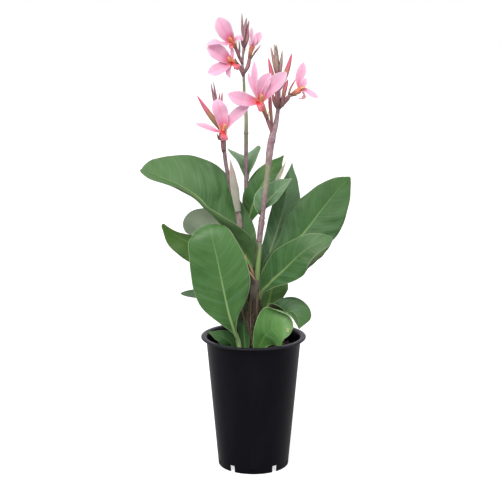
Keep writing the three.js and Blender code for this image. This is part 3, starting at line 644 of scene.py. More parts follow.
@dataclass(frozen=True)
class StalkFinish:
    """Living canna stalk: smooth, with a waxy bloom that rubs off, mauve above and green in the shade.

    The eye sees long fine fibres, blotches of mauve over grey-green, and dark dry skin at the foot.
    """

    mauve: str = "#8a6873"
    pale: str = "#ad9297"
    green: str = "#86a562"
    foot: str = "#4c403a"
    roughness: float = 0.55

    def build(self) -> list[bpy.types.Material]:
        """The stalk's one material."""
        material, tree = new_material("waxy_canna_stalk")
        grain = add_node(tree, "ShaderNodeAttribute", {"attribute_name": "grain"}).outputs["Vector"]
        _, green, foot = read_marks(tree, "place")
        # Blotches where the waxy bloom is rubbed off, about 8 mm long, which let the green spill over.
        bloom = drawn_noise(tree, grain, scale=(0.25, 0.25, 0.12), detail=4.0)
        colour = tint(tree, self.mauve, self.pale, bloom, low=0.35, high=0.65)
        spill = add_node(tree, "ShaderNodeMath", {"operation": "MULTIPLY_ADD"}, {0: bloom, 1: 0.5, 2: -0.25})
        greened = add_node(tree, "ShaderNodeMath", {"operation": "ADD"}, {0: green, 1: spill.outputs[0]})
        colour = tint(tree, colour, self.green, greened.outputs[0])
        colour = tint(tree, colour, self.foot, foot)
        # Fibres 0.8 mm wide and 25 mm long.
        fibre = drawn_noise(tree, grain, scale=(1.2, 1.2, 0.04), detail=3.0)
        colour = tint(tree, colour, self.foot, fibre, low=0.5, high=0.75, most=0.3)
        surface(tree, colour, self.roughness, height=fibre, depth_mm=0.2, IOR=1.4)
        return [material]


@dataclass(frozen=True)
class BudFinish:
    """Canna buds and calyces: closed ones dusky mauve with a grey bloom, opening ones peach below, then pink.

    The eye sees lengthwise streaks, a darker foot, and paler tips.
    """

    name: str = "dusky_canna_bud"
    mauve: str = "#8b5062"
    dusk: str = "#ab9290"
    foot: str = "#5f4048"
    peach: str = "#b98f68"
    opening: Stops = (
        (0.0, "#6e3a44"), (0.3, "#8f7450"), (0.5, "#b07a5e"), (0.66, "#d2607e"), (1.0, "#d8567c"),
    )
    roughness: float = 0.6

    def build(self) -> list[bpy.types.Material]:
        """The buds' one material."""
        material, tree = new_material(self.name)
        grain = add_node(tree, "ShaderNodeAttribute", {"attribute_name": "grain"}).outputs["Vector"]
        share, pink, warty = read_marks(tree, "place")
        # Streaks 0.7 mm wide and 15 mm long.
        streak = drawn_noise(tree, grain, scale=(1.3, 1.3, 0.07), detail=3.0)
        closed = tint(tree, self.mauve, self.dusk, streak, low=0.38, high=0.62, most=0.9)
        closed = tint(tree, closed, self.foot, share, low=0.4, high=0.05)
        opening = add_node(tree, "ShaderNodeValToRGB", inputs={0: share}, stops=self.opening).outputs[0]
        opening = tint(tree, opening, self.peach, streak, low=0.38, high=0.62, most=0.315)
        colour = tint(tree, closed, opening, pink)
        # Warts about 1.2 mm wide, on the stalklets.
        wart = add_node(tree, "ShaderNodeTexVoronoi", inputs={"Vector": grain, "Scale": 0.8})
        round_off = {"Value": wart.outputs["Distance"], "From Max": 0.6}
        bead = add_node(tree, "ShaderNodeMapRange", inputs=round_off).outputs[0]
        relief = add_node(tree, "ShaderNodeMix", inputs={0: warty, 2: streak, 3: bead}).outputs[0]
        surface(tree, colour, self.roughness, height=relief, depth_mm=0.35, IOR=1.42)
        return [material]


@dataclass(frozen=True)
class PetalFinish:
    """Fresh canna petal and petal-like stamen: thin, soft and matt, lit through.

    The eye sees clear pink that pales to the margin, fine lines in it, and coral where it leaves the throat.
    """

    name: str = "pink_canna_petal"
    throat: str = "#dd4a33"
    coral: str = "#f58a55"
    blush: str = "#f494ba"
    middle: str = "#fccae1"
    outer: str = "#fcd7eb"
    margin: str = "#fce5f3"
    through: float = 0.4

    def build(self) -> list[bpy.types.Material]:
        """The petals' one material."""
        material, tree = new_material(self.name)
        length, across, off_margin = read_marks(tree, "grain")
        share, reach, pale = read_marks(tree, "place")
        stops = (
            (0.0, self.throat), (0.1, self.coral), (0.24, self.blush), (0.45, self.middle), (1.0, self.outer),
        )
        run = add_node(tree, "ShaderNodeValToRGB", inputs={0: share}, stops=stops).outputs[0]
        # Fine lines 0.9 mm apart, drawn out across the petal.
        follow = add_node(tree, "ShaderNodeCombineXYZ", inputs={0: length, 1: across, 2: share}).outputs[0]
        line = drawn_noise(tree, follow, scale=(1.1, 0.05, 1.0), detail=3.0)
        colour = tint(tree, run, self.blush, line, low=0.5, high=0.72, most=0.3)
        colour = tint(tree, colour, self.blush, reach, low=0.3, high=0.0, most=0.3, smooth=True)
        colour = tint(tree, colour, self.margin, off_margin, low=3.0, high=0.0, most=0.7, smooth=True)
        colour = tint(tree, colour, self.margin, pale)
        surface(tree, colour, 0.5, height=line, depth_mm=0.12, through=self.through, IOR=1.38)
        return [material]


@dataclass(frozen=True)
class ThroatFinish:
    """The throat of a canna bloom: deep red in the cup, pink on the lip, and yellow-orange on the style."""

    cup: str = "#cf2230"
    coral: str = "#e2484f"
    rim: str = "#f1889a"
    yellow: str = "#fdc984"
    orange: str = "#f89a60"
    faded: str = "#c7a0a6"
    through: float = 0.2

    def build(self) -> list[bpy.types.Material]:
        """The throat's one material."""
        material, tree = new_material("coral_canna_throat")
        length, across, _ = read_marks(tree, "grain")
        share, yellow, faded = read_marks(tree, "place")
        stops = ((0.0, self.cup), (0.2, self.cup), (0.42, self.coral), (0.7, self.rim), (1.0, self.rim))
        lip = add_node(tree, "ShaderNodeValToRGB", inputs={0: share}, stops=stops).outputs[0]
        stops = ((0.0, self.cup), (0.25, self.orange), (0.6, self.yellow), (1.0, self.yellow))
        style = add_node(tree, "ShaderNodeValToRGB", inputs={0: share}, stops=stops).outputs[0]
        colour = tint(tree, lip, style, yellow)
        # Freckles about 1.5 mm wide.
        follow = add_node(tree, "ShaderNodeCombineXYZ", inputs={0: length, 1: across, 2: share}).outputs[0]
        freckle = drawn_noise(tree, follow, scale=0.7, detail=2.0)
        colour = tint(tree, colour, self.cup, freckle, low=0.55, high=0.66, most=0.3)
        colour = tint(tree, colour, self.faded, faded)
        surface(tree, colour, 0.45, height=freckle, depth_mm=0.2, through=self.through, IOR=1.38)
        return [material]


@dataclass(frozen=True)
class PotFinish:
    """Satin black moulded polypropylene with a faint orange-peel skin, dust smears and a painted rim
    highlight.
    """

    body: str = "#0a0910"
    dust: str = "#16151e"
    painted_rim_highlight: str = "#3a3a42"
    rim: tuple[float, float] = (0.2305, 0.235)  # metres up, where the painted rim highlight starts and is strongest

    def build(self) -> list[bpy.types.Material]:
        """The pot's one material."""
        material, tree = new_material("satin_black_moulded_polypropylene")
        where = add_node(tree, "ShaderNodeTexCoord").outputs["Object"]
        height = add_node(tree, "ShaderNodeSeparateXYZ", inputs={0: where}).outputs[2]
        # A skin of soft bumps 1.2 mm wide, from the mould.
        peel = drawn_noise(tree, where, scale=820.0, detail=2.0)
        # Smears of dust some 60 mm long, drawn out upwards.
        smear = drawn_noise(tree, where, scale=(26.0, 26.0, 9.0), detail=6.0, roughness=0.6)
        colour = tint(tree, self.body, self.dust, smear, low=0.48, high=0.8, most=0.5)
        # A painted highlight along the top of the rim, strongest where the dust smears are.
        low, high = self.rim
        lip = {"Value": height, "From Min": low, "From Max": high, "To Max": 0.75}
        top = add_node(tree, "ShaderNodeMapRange", inputs=lip).outputs[0]
        painted_rim_light = add_node(tree, "ShaderNodeMath", {"operation": "MULTIPLY"}, {0: top, 1: smear}).outputs[0]
        colour = tint(tree, colour, self.painted_rim_highlight, painted_rim_light)
        limits = {"Value": smear, "To Min": 0.25, "To Max": 0.43}
        shine = add_node(tree, "ShaderNodeMapRange", inputs=limits).outputs[0]
        surface(tree, colour, shine, height=peel, depth_mm=0.03, IOR=1.49, Specular_IOR_Level=0.1)
        return [material]


@dataclass(frozen=True)
class MixFinish:
    """Potting mix: damp peat crumbs with flecks of composted bark, dark brown with reddish and tan bits."""

    peat: str = "#120e0d"
    brown: str = "#271a16"
    bark: str = "#452c25"
    tan: str = "#6a5240"

    def build(self) -> list[bpy.types.Material]:
        """The mix's one material."""
        material, tree = new_material("peat_and_bark_potting_mix")
        where = add_node(tree, "ShaderNodeTexCoord").outputs["Object"]
        tone, loose, _ = read_marks(tree, "place")
        # Crumbs about 3 mm wide.
        crumb = drawn_noise(tree, where, scale=330.0, detail=6.0, roughness=0.7)
        stops = ((0.3, self.peat), (0.55, self.brown), (0.7, self.peat))
        ground = add_node(tree, "ShaderNodeValToRGB", inputs={0: crumb}, stops=stops).outputs[0]
        stops = ((0.0, self.peat), (0.5, self.brown), (0.8, self.bark), (1.0, self.tan))
        chips = add_node(tree, "ShaderNodeValToRGB", inputs={0: tone}, stops=stops).outputs[0]
        colour = tint(tree, ground, chips, loose)
        surface(tree, colour, 0.92, height=crumb, depth_mm=1.0, IOR=1.4)
        return [material]


@dataclass(frozen=True)
class DryFinish:
    """Dead, torn leaf sheath: brown, fibrous and matt, with tan and grey strands and painted shade between
    them.
    """

    name: str = "dry_torn_leaf_sheath"
    dark: str = "#0e0c0a"
    brown: str = "#35302a"
    tan: str = "#7d6f5a"
    pinkish: str = "#95826a"

    def build(self) -> list[bpy.types.Material]:
        """The sheath's one material."""
        material, tree = new_material(self.name)
        grain = add_node(tree, "ShaderNodeAttribute", {"attribute_name": "grain"}).outputs["Vector"]
        _, light, _ = read_marks(tree, "place")
        # Strands 2 mm wide that run the whole length, with near-black painted shade in the gaps between them.
        strand = drawn_noise(tree, grain, scale=(0.48, 0.48, 0.02), detail=5.0)
        stops = (
            (0.34, self.dark), (0.44, self.brown), (0.5, self.dark), (0.57, self.tan), (0.66, self.dark),
        )
        fibre = add_node(tree, "ShaderNodeValToRGB", inputs={0: strand}, stops=stops).outputs[0]
        colour = tint(tree, fibre, self.pinkish, light)
        surface(tree, colour, 0.85, height=strand, depth_mm=0.8, IOR=1.4)
        return [material]


class Foliage(Enum):
    """Leaf finishes: some differ by the leaf's age and tone; some are copies lighter or darker by painted
    light or shade.
    """

    FULL = LeafFinish("full_grown_leaf")
    LARGE = LeafFinish(
        "large_leaf", top="#4a723b", deep="#385d2d", under="#5c8249", under_deep="#466835", rib="#a8cc78",
        margin="#8f8a7a", tip="#618450", sheen="#6a9068",
    )
    FRONT = LeafFinish(
        "front_leaf", top="#527f40", deep="#38652c", rib="#a9c682", margin="#a9c08e", sheen="#6a9468",
        stripe=0.36, roughness=0.44,
    )
    MIDDLE = LeafFinish("middle_leaf", top="#4b7a38", deep="#335b28", tip="#5f8c48", sheen="#62895a")
    BRIGHT = LeafFinish(
        "sunlit_leaf", top="#477224", deep="#315618", tip="#507a2b", rib="#88a64e", margin="#75734a",
        sheen="#5d893c", stripe=0.3, through=0.26,
    )
    SPECKLED = LeafFinish(
        "speckled_leaf", top="#598942", deep="#3c6930", tip="#66934d", rib="#68964c", margin="#a9c48c",
        sheen="#76a06e", dry=0.85,
    )
    # A lighter copy of the leaf colours for a leaf that lies in shade: painted light.
    SHELTERED = LeafFinish(
        "painted_light_leaf", top="#6f9c52", deep="#4f7c38", tip="#7aa55c", rib="#a9c878", sheen="#84ab76",
        through=0.3,
    )
    SHADED = LeafFinish(
        "shaded_leaf", top="#3d6635", deep="#294a23", rib="#6f8b50", margin="#6f8a62", under="#46603f",
        under_deep="#364c30", tip="#49703c", sheen="#527556",
    )
    GREYED = LeafFinish(
        "greyed_leaf", top="#62885a", deep="#436a3c", rib="#a4bd8c", margin="#9db08c", under="#77907a",
        under_deep="#617a62", tip="#74976c", sheen="#86a58a",
    )
    PALE = LeafFinish(
        "paler_leaf", top="#7da473", deep="#5e8655", rib="#b0c89c", margin="#a9bb98", under="#8fa88a",
        under_deep="#789173", tip="#8bb082", sheen="#99b898",
    )
    # The underside's pale colours are partly its own grey-green and partly painted light and sheen, lifting a
    # side that lies in shade.
    TURNED = LeafFinish(
        "turned_leaf", top="#8fab86", deep="#7a9871", sheen="#9db694", under="#d3e0c4", under_deep="#b5c6a6",
        rib="#b4c9a8", margin="#a9b89e", tip="#b4c6a8", stripe=0.3, through=0.12,
    )
    OLIVE = LeafFinish(
        "folded_leaf", top="#426a34", deep="#2e5325", rib="#8aa564", margin="#8b9a78", under="#505a3a",
        under_deep="#3c4a2c", tip="#567c46", sheen="#5a845e",
    )


STALK = StalkFinish()
BUD = BudFinish()
TAN_BUD = BudFinish("greyish_tan_canna_bud", mauve="#8a6866", dusk="#bbaa9a", foot="#6b2f3e")
CALYX = BudFinish(
    "canna_calyx", peach="#cfa070",
    opening=((0.0, "#5a4240"), (0.3, "#93704f"), (0.6, "#cf8058"), (1.0, "#e5695a")),
)
PETAL = PetalFinish()
THROAT = ThroatFinish()
DRY = DryFinish()
TORN_EDGE = DryFinish("pale_torn_sheath_edge", pinkish="#d9b48c")
BRACT = LeafFinish(
    "papery_bract", top="#c4c8b4", deep="#b9b1a4", under="#c6c9b5", under_deep="#b9afa4", rib="#b4c09a",
    margin="#e0d6cb", tip="#d3aeaa", sheen="#c9cdb6", stripe=0.3, roughness=0.65, through=0.4,
    vein_step_mm=3.0,
)
YOUNG = LeafFinish(
    "rolled_young_leaf", top="#e2e8d0", deep="#ccd3b6", under="#e6ead6", under_deep="#d2d7be", rib="#d4deb6",
    margin="#e6ddd2", tip="#dfc9be", sheen="#c5ceb4", roughness=0.6, through=0.25, vein_step_mm=3.0,
)


# ---------------------------------------------------------------- blades and tubes


ROLL_FROM = 0.5  # the share of the half width from which a margin rolls over


def arc(angle: Array, bend: Array, length: Array) -> tuple[Array, Array]:
    """How far an arc goes sideways and up.

    Args:
        angle: the angle at which it starts, in radians.
        bend: how far it turns over a length of 1.
        length: its length.

    Returns:
        The two distances.
    """
    turn = bend + 1e-4
    end = angle + turn * length
    return (np.sin(end) - np.sin(angle)) / turn, (np.cos(angle) - np.cos(end)) / turn


@dataclass(frozen=True)
class Blade:
    """The shape of a leaf, bract, petal or lip, in millimetres and degrees.

    Attributes:
        rib: the midline, from base to tip.
        face: the way the upper side looks, at equal steps along the rib.
        left: half widths over the blade, with the upper side towards you and the tip up.
        right: the same on the right. It, and each other right value but roll_right, is the left one's if it
            isn't given.
        fold_left: the angle at which the half leaves the rib, towards the upper side.
        curl_left: how far the half bends on from there.
        roll_left: how much further its outer part turns over.
        petiole: the share of the rib below the blade.
        stem: the petiole's radius.
        wave: the margins' wave: height, count and phase.
        tip: the share of the length over which the tip closes in a curve.
        point: how sharp that curve is: 0.5 is round, and 1 is pointed.
    """

    rib: Points
    face: Points
    left: Sizes
    right: Sizes | None = None
    fold_left: Sizes = 0.0
    fold_right: Sizes | None = None
    curl_left: Sizes = 0.0
    curl_right: Sizes | None = None
    roll_left: Sizes = 0.0
    roll_right: Sizes = 0.0
    petiole: float = 0.0
    stem: float = 0.0
    wave: Point = (0.0, 1.0, 0.0)
    tip: float = 0.12
    point: float = 0.5

    @cached_property
    def path(self) -> Path:
        """The midline as a smooth line."""
        return Path(self.rib)

    def share(self, t: Array) -> Array:
        """The share of the blade at a share of the rib."""
        return np.clip((t - self.petiole) / (1 - self.petiole), 0, 1)

    def _sided(self, left: Sizes, right: Sizes | None, s: Array, v: Array) -> Array:
        """A value that differs between the two halves."""
        return np.where(v < 0, along(left, s), along(left if right is None else right, s))

    def half(self, t: Array, v: Array) -> Array:
        """The half width on the side of v.

        Args:
            t: shares along the rib.
            v: shares across, -1 to 1.

        Returns:
            Millimetres.
        """
        s = self.share(t)
        close = np.clip((s - 1 + self.tip) / self.tip, 0, 1)
        width = self._sided(self.left, self.right, s, v) * (1 - close**2) ** self.point
        return np.maximum(np.maximum(width, self.stem * 0.8 * (1 - s)), 0.25)

    def at(self, t: Array, v: Array) -> Array:
        """Places on the blade.

        Args:
            t: shares of the rib.
            v: shares of the half width, under 0 on the left.

        Returns:
            The places in millimetres.
        """
        centre, way = self.path.point(t), self.path.way(t)
        up = np.stack([along(tuple(f[k] for f in self.face), t) for k in range(3)], axis=-1)
        side = unit(np.cross(way, up))
        normal = np.cross(side, way)
        s, reach = self.share(t), np.abs(v)
        width = self.half(t, v)
        rise = np.radians(self._sided(self.fold_left, self.fold_right, s, v))
        bend = np.radians(self._sided(self.curl_left, self.curl_right, s, v))
        roll = np.radians(self._sided(self.roll_left, self.roll_right, s, v)) / (1 - ROLL_FROM)
        inner = arc(rise, bend, np.minimum(reach, ROLL_FROM))
        outer = arc(rise + bend * ROLL_FROM, bend + roll, np.maximum(reach - ROLL_FROM, 0))
        out, lift = inner[0] + outer[0], inner[1] + outer[1]
        height, count, phase = self.wave
        ripple = height * np.sin(2 * np.pi * (count * s + phase + np.where(v < 0, 0.37, 0)))
        sideways = (np.sign(v) * out * width)[..., None]
        raised = (lift * width + ripple * reach**2 * np.sin(np.pi * s))[..., None]
        return centre + side * sideways + normal * raised

    def normal(self, t: Array, v: Array) -> Array:
        """The way the upper side looks at each place.

        Args:
            t: shares along the rib.
            v: shares across, -1 to 1.

        Returns:
            Unit vectors, as rows.
        """
        dt, dv = 0.004, 0.02
        up = self.at(np.minimum(t + dt, 1), v) - self.at(np.maximum(t - dt, 0), v)
        across = self.at(t, np.minimum(v + dv, 1)) - self.at(t, np.maximum(v - dv, -1))
        return unit(np.cross(across, up))


@dataclass(frozen=True)
class Relief:
    """How finely a blade is drawn, and what rises from it, in millimetres."""

    rows: int = 100
    columns: int = 24
    thickness: float = 0.5
    lean: float = 0.2  # how far the side veins run on towards the tip, as a share of the rib
    vein_step: float = 7.5
    vein_depth: float = 0.07
    swell: float = 0.0  # height of the broad, uneven swellings between the side veins
    groove: float = 0.35  # depth of the channel over the midrib
    keel: float = 1.1  # the midrib's depth below, as a share of the petiole's radius
    frill: float = 0.5  # height of the small waves in the margin
    frill_step: float = 34.0


SMOOTH = Relief(lean=0.0, vein_depth=0.0, frill=0.0)


def blade_skin(
    name: str, blade: Blade, relief: Relief, pale: float | None = None, finishes: Sequence[Finish] = ()
) -> Piece:
    """Makes a leaf or petal with its veins in relief.

    Rows of points follow the side veins, so that the relief runs along them.

    Args:
        name: the object's name.
        blade: its shape.
        relief: its detail.
        pale: the third number of "place", in a petal or strip. A leaf's is its rib width.
        finishes: what it is dressed with, the upper side's first.

    Returns:
        The finished object.
    """
    length = blade.path.length
    keels: list[Array] = []

    def form(across: Array, up: Array) -> tuple[Array, Array, Array]:
        """The blade's points and marks, from shares across and along."""
        x = 2 * across - 1
        v = np.sign(x) * np.abs(x) ** 1.5
        row = 1 - (1 - up) ** 1.25
        s = blade.share(row)
        reach = np.abs(v)
        t = np.clip(row + relief.lean * reach**1.2 * 4 * s * (1 - s) * (1 - blade.petiole), 0, 1) * 0.998
        half = blade.half(t, v)
        s = blade.share(t)
        vein = row * length
        rib_width = 0.5 + blade.stem * 0.8 * (1 - s)
        off_rib = v * half
        off_margin = (1 - reach) * half
        body = ease(reach, 0.04, 0.3) * ease(1 - reach, 0.0, 0.2)
        sunk = 0.5 + 0.5 * np.cos(2 * np.pi * vein / relief.vein_step)
        raised = -relief.vein_depth * sunk**2 * body
        slow = np.sin(vein / 6.1 + 1.7 * np.sin(vein / 23 + np.sign(v))) * np.sin(off_rib / 9 + vein / 31)
        raised += relief.swell * (slow + 0.5 * np.sin(vein / 13 + 2 * v)) * body
        raised -= relief.groove * np.exp(-((off_rib / (rib_width + 0.4)) ** 2)) * (1 - s) * (blade.stem > 0)
        frill = relief.frill * np.sin(2 * np.pi * t * length / relief.frill_step + 2 * v)
        raised += frill * reach**5 * np.sin(np.pi * s)
        places = blade.at(t, v) + blade.normal(t, v) * raised[:, None]
        on_rib = np.exp(-((off_rib / (rib_width + 0.6)) ** 2))
        keels.append(blade.stem * relief.keel * (1 - s) ** 0.8 * on_rib)
        last = rib_width if pale is None else np.full(rib_width.shape, pale)
        return places, np.stack([vein, off_rib, off_margin], 1), np.stack([s, reach, last], 1)

    piece = grown(name, relief.columns, relief.rows, form)
    dress(piece, *finishes)
    thicken(piece, relief.thickness + keels[0])
    return piece


@dataclass(frozen=True)
class Tube:
    """A round stem, bud or cup along a path, in millimetres.

    Attributes:
        path: the points that it passes.
        radii: radii at equal steps along it.
        marks: two numbers, or two lists of them at equal steps, that the finish reads.
        lobes: how many ridges run along it, and their height as a share of the radius.
    """

    path: Points
    radii: Sizes
    marks: tuple[Sizes, Sizes] = (0.0, 0.0)
    lobes: tuple[int, float] = (0, 0.0)

    def skin(self, name: str, sides: int = 16, steps: int = 24, bumps: float = 0.0) -> Piece:
        """Makes the tube, closed at both ends.

        Args:
            name: the object's name.
            sides: faces round it.
            steps: faces along it.
            bumps: height of uneven swellings, in millimetres.

        Returns:
            The closed object.
        """
        line = Path(self.path)
        shares = np.clip((np.arange(steps + 1) - 1) / (steps - 2), 0, 1)
        first, second = line.frames(shares)

        def form(across: Array, up: Array) -> tuple[Array, Array, Array]:
            """The tube's points and marks, from shares round and along."""
            turn = 2 * np.pi * across
            row = np.rint(up * steps).astype(int)
            share = shares[row]
            count, height = self.lobes
            radius = along(self.radii, share) * (1 + height * np.cos(count * turn + 1.5 * share))
            radius = radius + bumps * np.sin(3 * turn + 9 * share) * np.sin(2 * turn + 23 * share)
            radius = np.where((row == 0) | (row == steps), 0, radius)
            round_x, round_y = radius * np.cos(turn), radius * np.sin(turn)
            places = line.point(share) + first[row] * round_x[:, None] + second[row] * round_y[:, None]
            grain = np.stack([round_x, round_y, share * line.length], 1)
            return places, grain, np.stack([share, *(along(values, share) for values in self.marks)], 1)

        piece = grown(name, sides, steps, form)
        seal(piece)
        return piece


def spindle(path: Points, radius: float, belly: float = 0.42, foot: float = 0.5, tip: float = 0.22) -> Tube:
    """A bud's tube: fattest at the share belly of its length.

    Args:
        path: the bud's middle line.
        radius: where it is fattest.
        belly: where that is.
        foot: the foot's share of the radius.
        tip: the tip's share of the radius.

    Returns:
        The tube.
    """
    steps = [i / 12 for i in range(13)]
    swell = [
        foot + (1 - foot) * math.sin(t / belly * math.pi / 2) if t < belly
        else tip + (1 - tip) * math.cos((t - belly) / (1 - belly) * math.pi / 2)
        for t in steps
    ]
    return Tube(path, tuple(radius * value for value in swell))


# ---------------------------------------------------------------- pot and potting mix


@dataclass
class NurseryPot:
    """A tapered pot with a rolled rim, a raised floor, and notches and slots round its skirt."""

    height: float = 235.0
    base_radius: float = 62.5
    neck_radius: float = 83.5
    rim_radius: float = 92.5
    rim_thickness: float = 4.0
    wall: float = 1.8
    floor_height: float = 12.5
    foot_radius: float = 19.0
    notches: int = 5
    notch_width: float = 9.5
    notch_height: float = 12.0
    slot_width: float = 9.0
    slot_low: float = 4.0
    slot_high: float = 9.5
    slot_depth: float = 0.7
    notch_depth: float = 8.0
    roll: float = 2.0  # radius of the rim's outer edge
    crease: float = 35.0  # degrees, from which an edge looks sharp
    segments: int = 160
    finish: PotFinish = field(default_factory=PotFinish)

    @property
    def neck(self) -> float:
        """The height of the wall under the rim."""
        return self.height - self.rim_thickness

    def wall_radius(self, z: float) -> float:
        """The wall's outer radius at a height."""
        return self.base_radius + (self.neck_radius - self.base_radius) * z / self.neck

    def profile(self) -> list[tuple[float, float]]:
        """The section from the axis, round the wall and back to the axis, as radius and height."""
        wall, rim, top, roll = self.wall, self.rim_radius, self.height, self.roll
        foot, base, under, floor = self.foot_radius, self.base_radius, self.neck_radius, self.floor_height
        inner_floor = self.wall_radius(floor) - wall
        turns = np.radians([-75, -45, -15, 15, 45, 75])
        rolled = [(rim - roll + roll * math.cos(a), top - roll + roll * math.sin(a)) for a in turns]
        outside = [(self.wall_radius(z), z) for z in np.linspace(2, self.neck - 3.5, 12)]
        inside = [(self.wall_radius(z) - wall, z) for z in np.linspace(self.neck - 1, floor + 3, 8)]
        return [
            (0, 0), (foot - 1, 0), (foot, 0.4), (foot + 2, floor - 1), (foot + 3, floor),
            (inner_floor - 1, floor), (inner_floor, floor - 1),
            (base - wall, 0.3), (base - wall + 0.3, 0), (base - 0.3, 0), (base, 0.3), *outside,
            (under + 0.1, self.neck - 1.6), (under + 1.2, self.neck - 0.2), (under + 2.4, self.neck),
            (rim - 1.6, self.neck), *rolled,
            (under + 2.2, top), (under + 0.6, top - 0.3), (under - 0.9, top - 1.8), *inside,
            (inner_floor - 0.6, floor + wall), (foot + 2 + wall, floor + wall),
            (foot + wall, wall + 0.4), (foot + wall - 1, wall), (0, wall),
        ]

    def build(self) -> Piece:
        """Turns the profile, cuts the notches and slots, and dresses the pot."""
        points = self.profile()
        deselect()
        bpy.ops.mesh.primitive_plane_add(size=MM)
        piece = bpy.context.object
        bpy.ops.object.mode_set(mode="EDIT")
        bpy.ops.mesh.select_mode(type="VERT")
        bpy.ops.mesh.select_all(action="SELECT")
        bpy.ops.mesh.merge(type="CENTER")
        for (r0, z0), (r1, z1) in zip(points, points[1:]):
            bpy.ops.mesh.extrude_vertices_move(
                TRANSFORM_OT_translate={"value": ((r1 - r0) * MM, 0, (z1 - z0) * MM)}
            )
        bpy.ops.mesh.select_all(action="SELECT")
        bpy.ops.mesh.spin(steps=self.segments, angle=2 * math.pi, center=(0, 0, 0), axis=(0, 0, 1))
        bpy.ops.mesh.select_all(action="SELECT")
        bpy.ops.mesh.remove_doubles(threshold=1e-5)
        bpy.ops.mesh.normals_make_consistent(inside=False)
        bpy.ops.object.mode_set(mode="OBJECT")
        slot, notch = (self.slot_low, self.slot_high), (-1.0, self.notch_height)
        for index in range(self.notches):
            turn = 2 * math.pi * index / self.notches
            self._cut(piece, turn, self.slot_width, slot, self.base_radius - self.slot_depth)
            half_step = turn + math.pi / self.notches
            self._cut(piece, half_step, self.notch_width, notch, self.base_radius - self.notch_depth)
        select_only(piece)
        bpy.ops.object.shade_smooth_by_angle(angle=math.radians(self.crease))
        dress(piece, self.finish)
        return place(piece, "pot", "pot")

    def _cut(
        self, piece: Piece, turn: float, width: float, heights: tuple[float, float], reach: float
    ) -> None:
        """Cuts a box out of the skirt.

        Args:
            piece: the pot.
            turn: the angle round the pot, with 0 at the front.
            width: the box's width.
            heights: its lowest and highest points.
            reach: the radius that it goes in to.
        """
        depth = 20.0  # more than the wall has at any height
        low, high = heights
        out = reach + depth / 2
        deselect()
        bpy.ops.mesh.primitive_cube_add(
            size=1,
            location=(math.sin(turn) * out * MM, -math.cos(turn) * out * MM, (low + high) / 2 * MM),
            rotation=(0, 0, turn),
            scale=(width * MM, depth * MM, (high - low) * MM),
        )
        box = bpy.context.object
        select_only(piece)
        cut = piece.modifiers.new("notch", "BOOLEAN")
        cut.operation = "DIFFERENCE"
        cut.object = box
        bpy.ops.object.modifier_apply(modifier=cut.name)
        bpy.data.objects.remove(box)


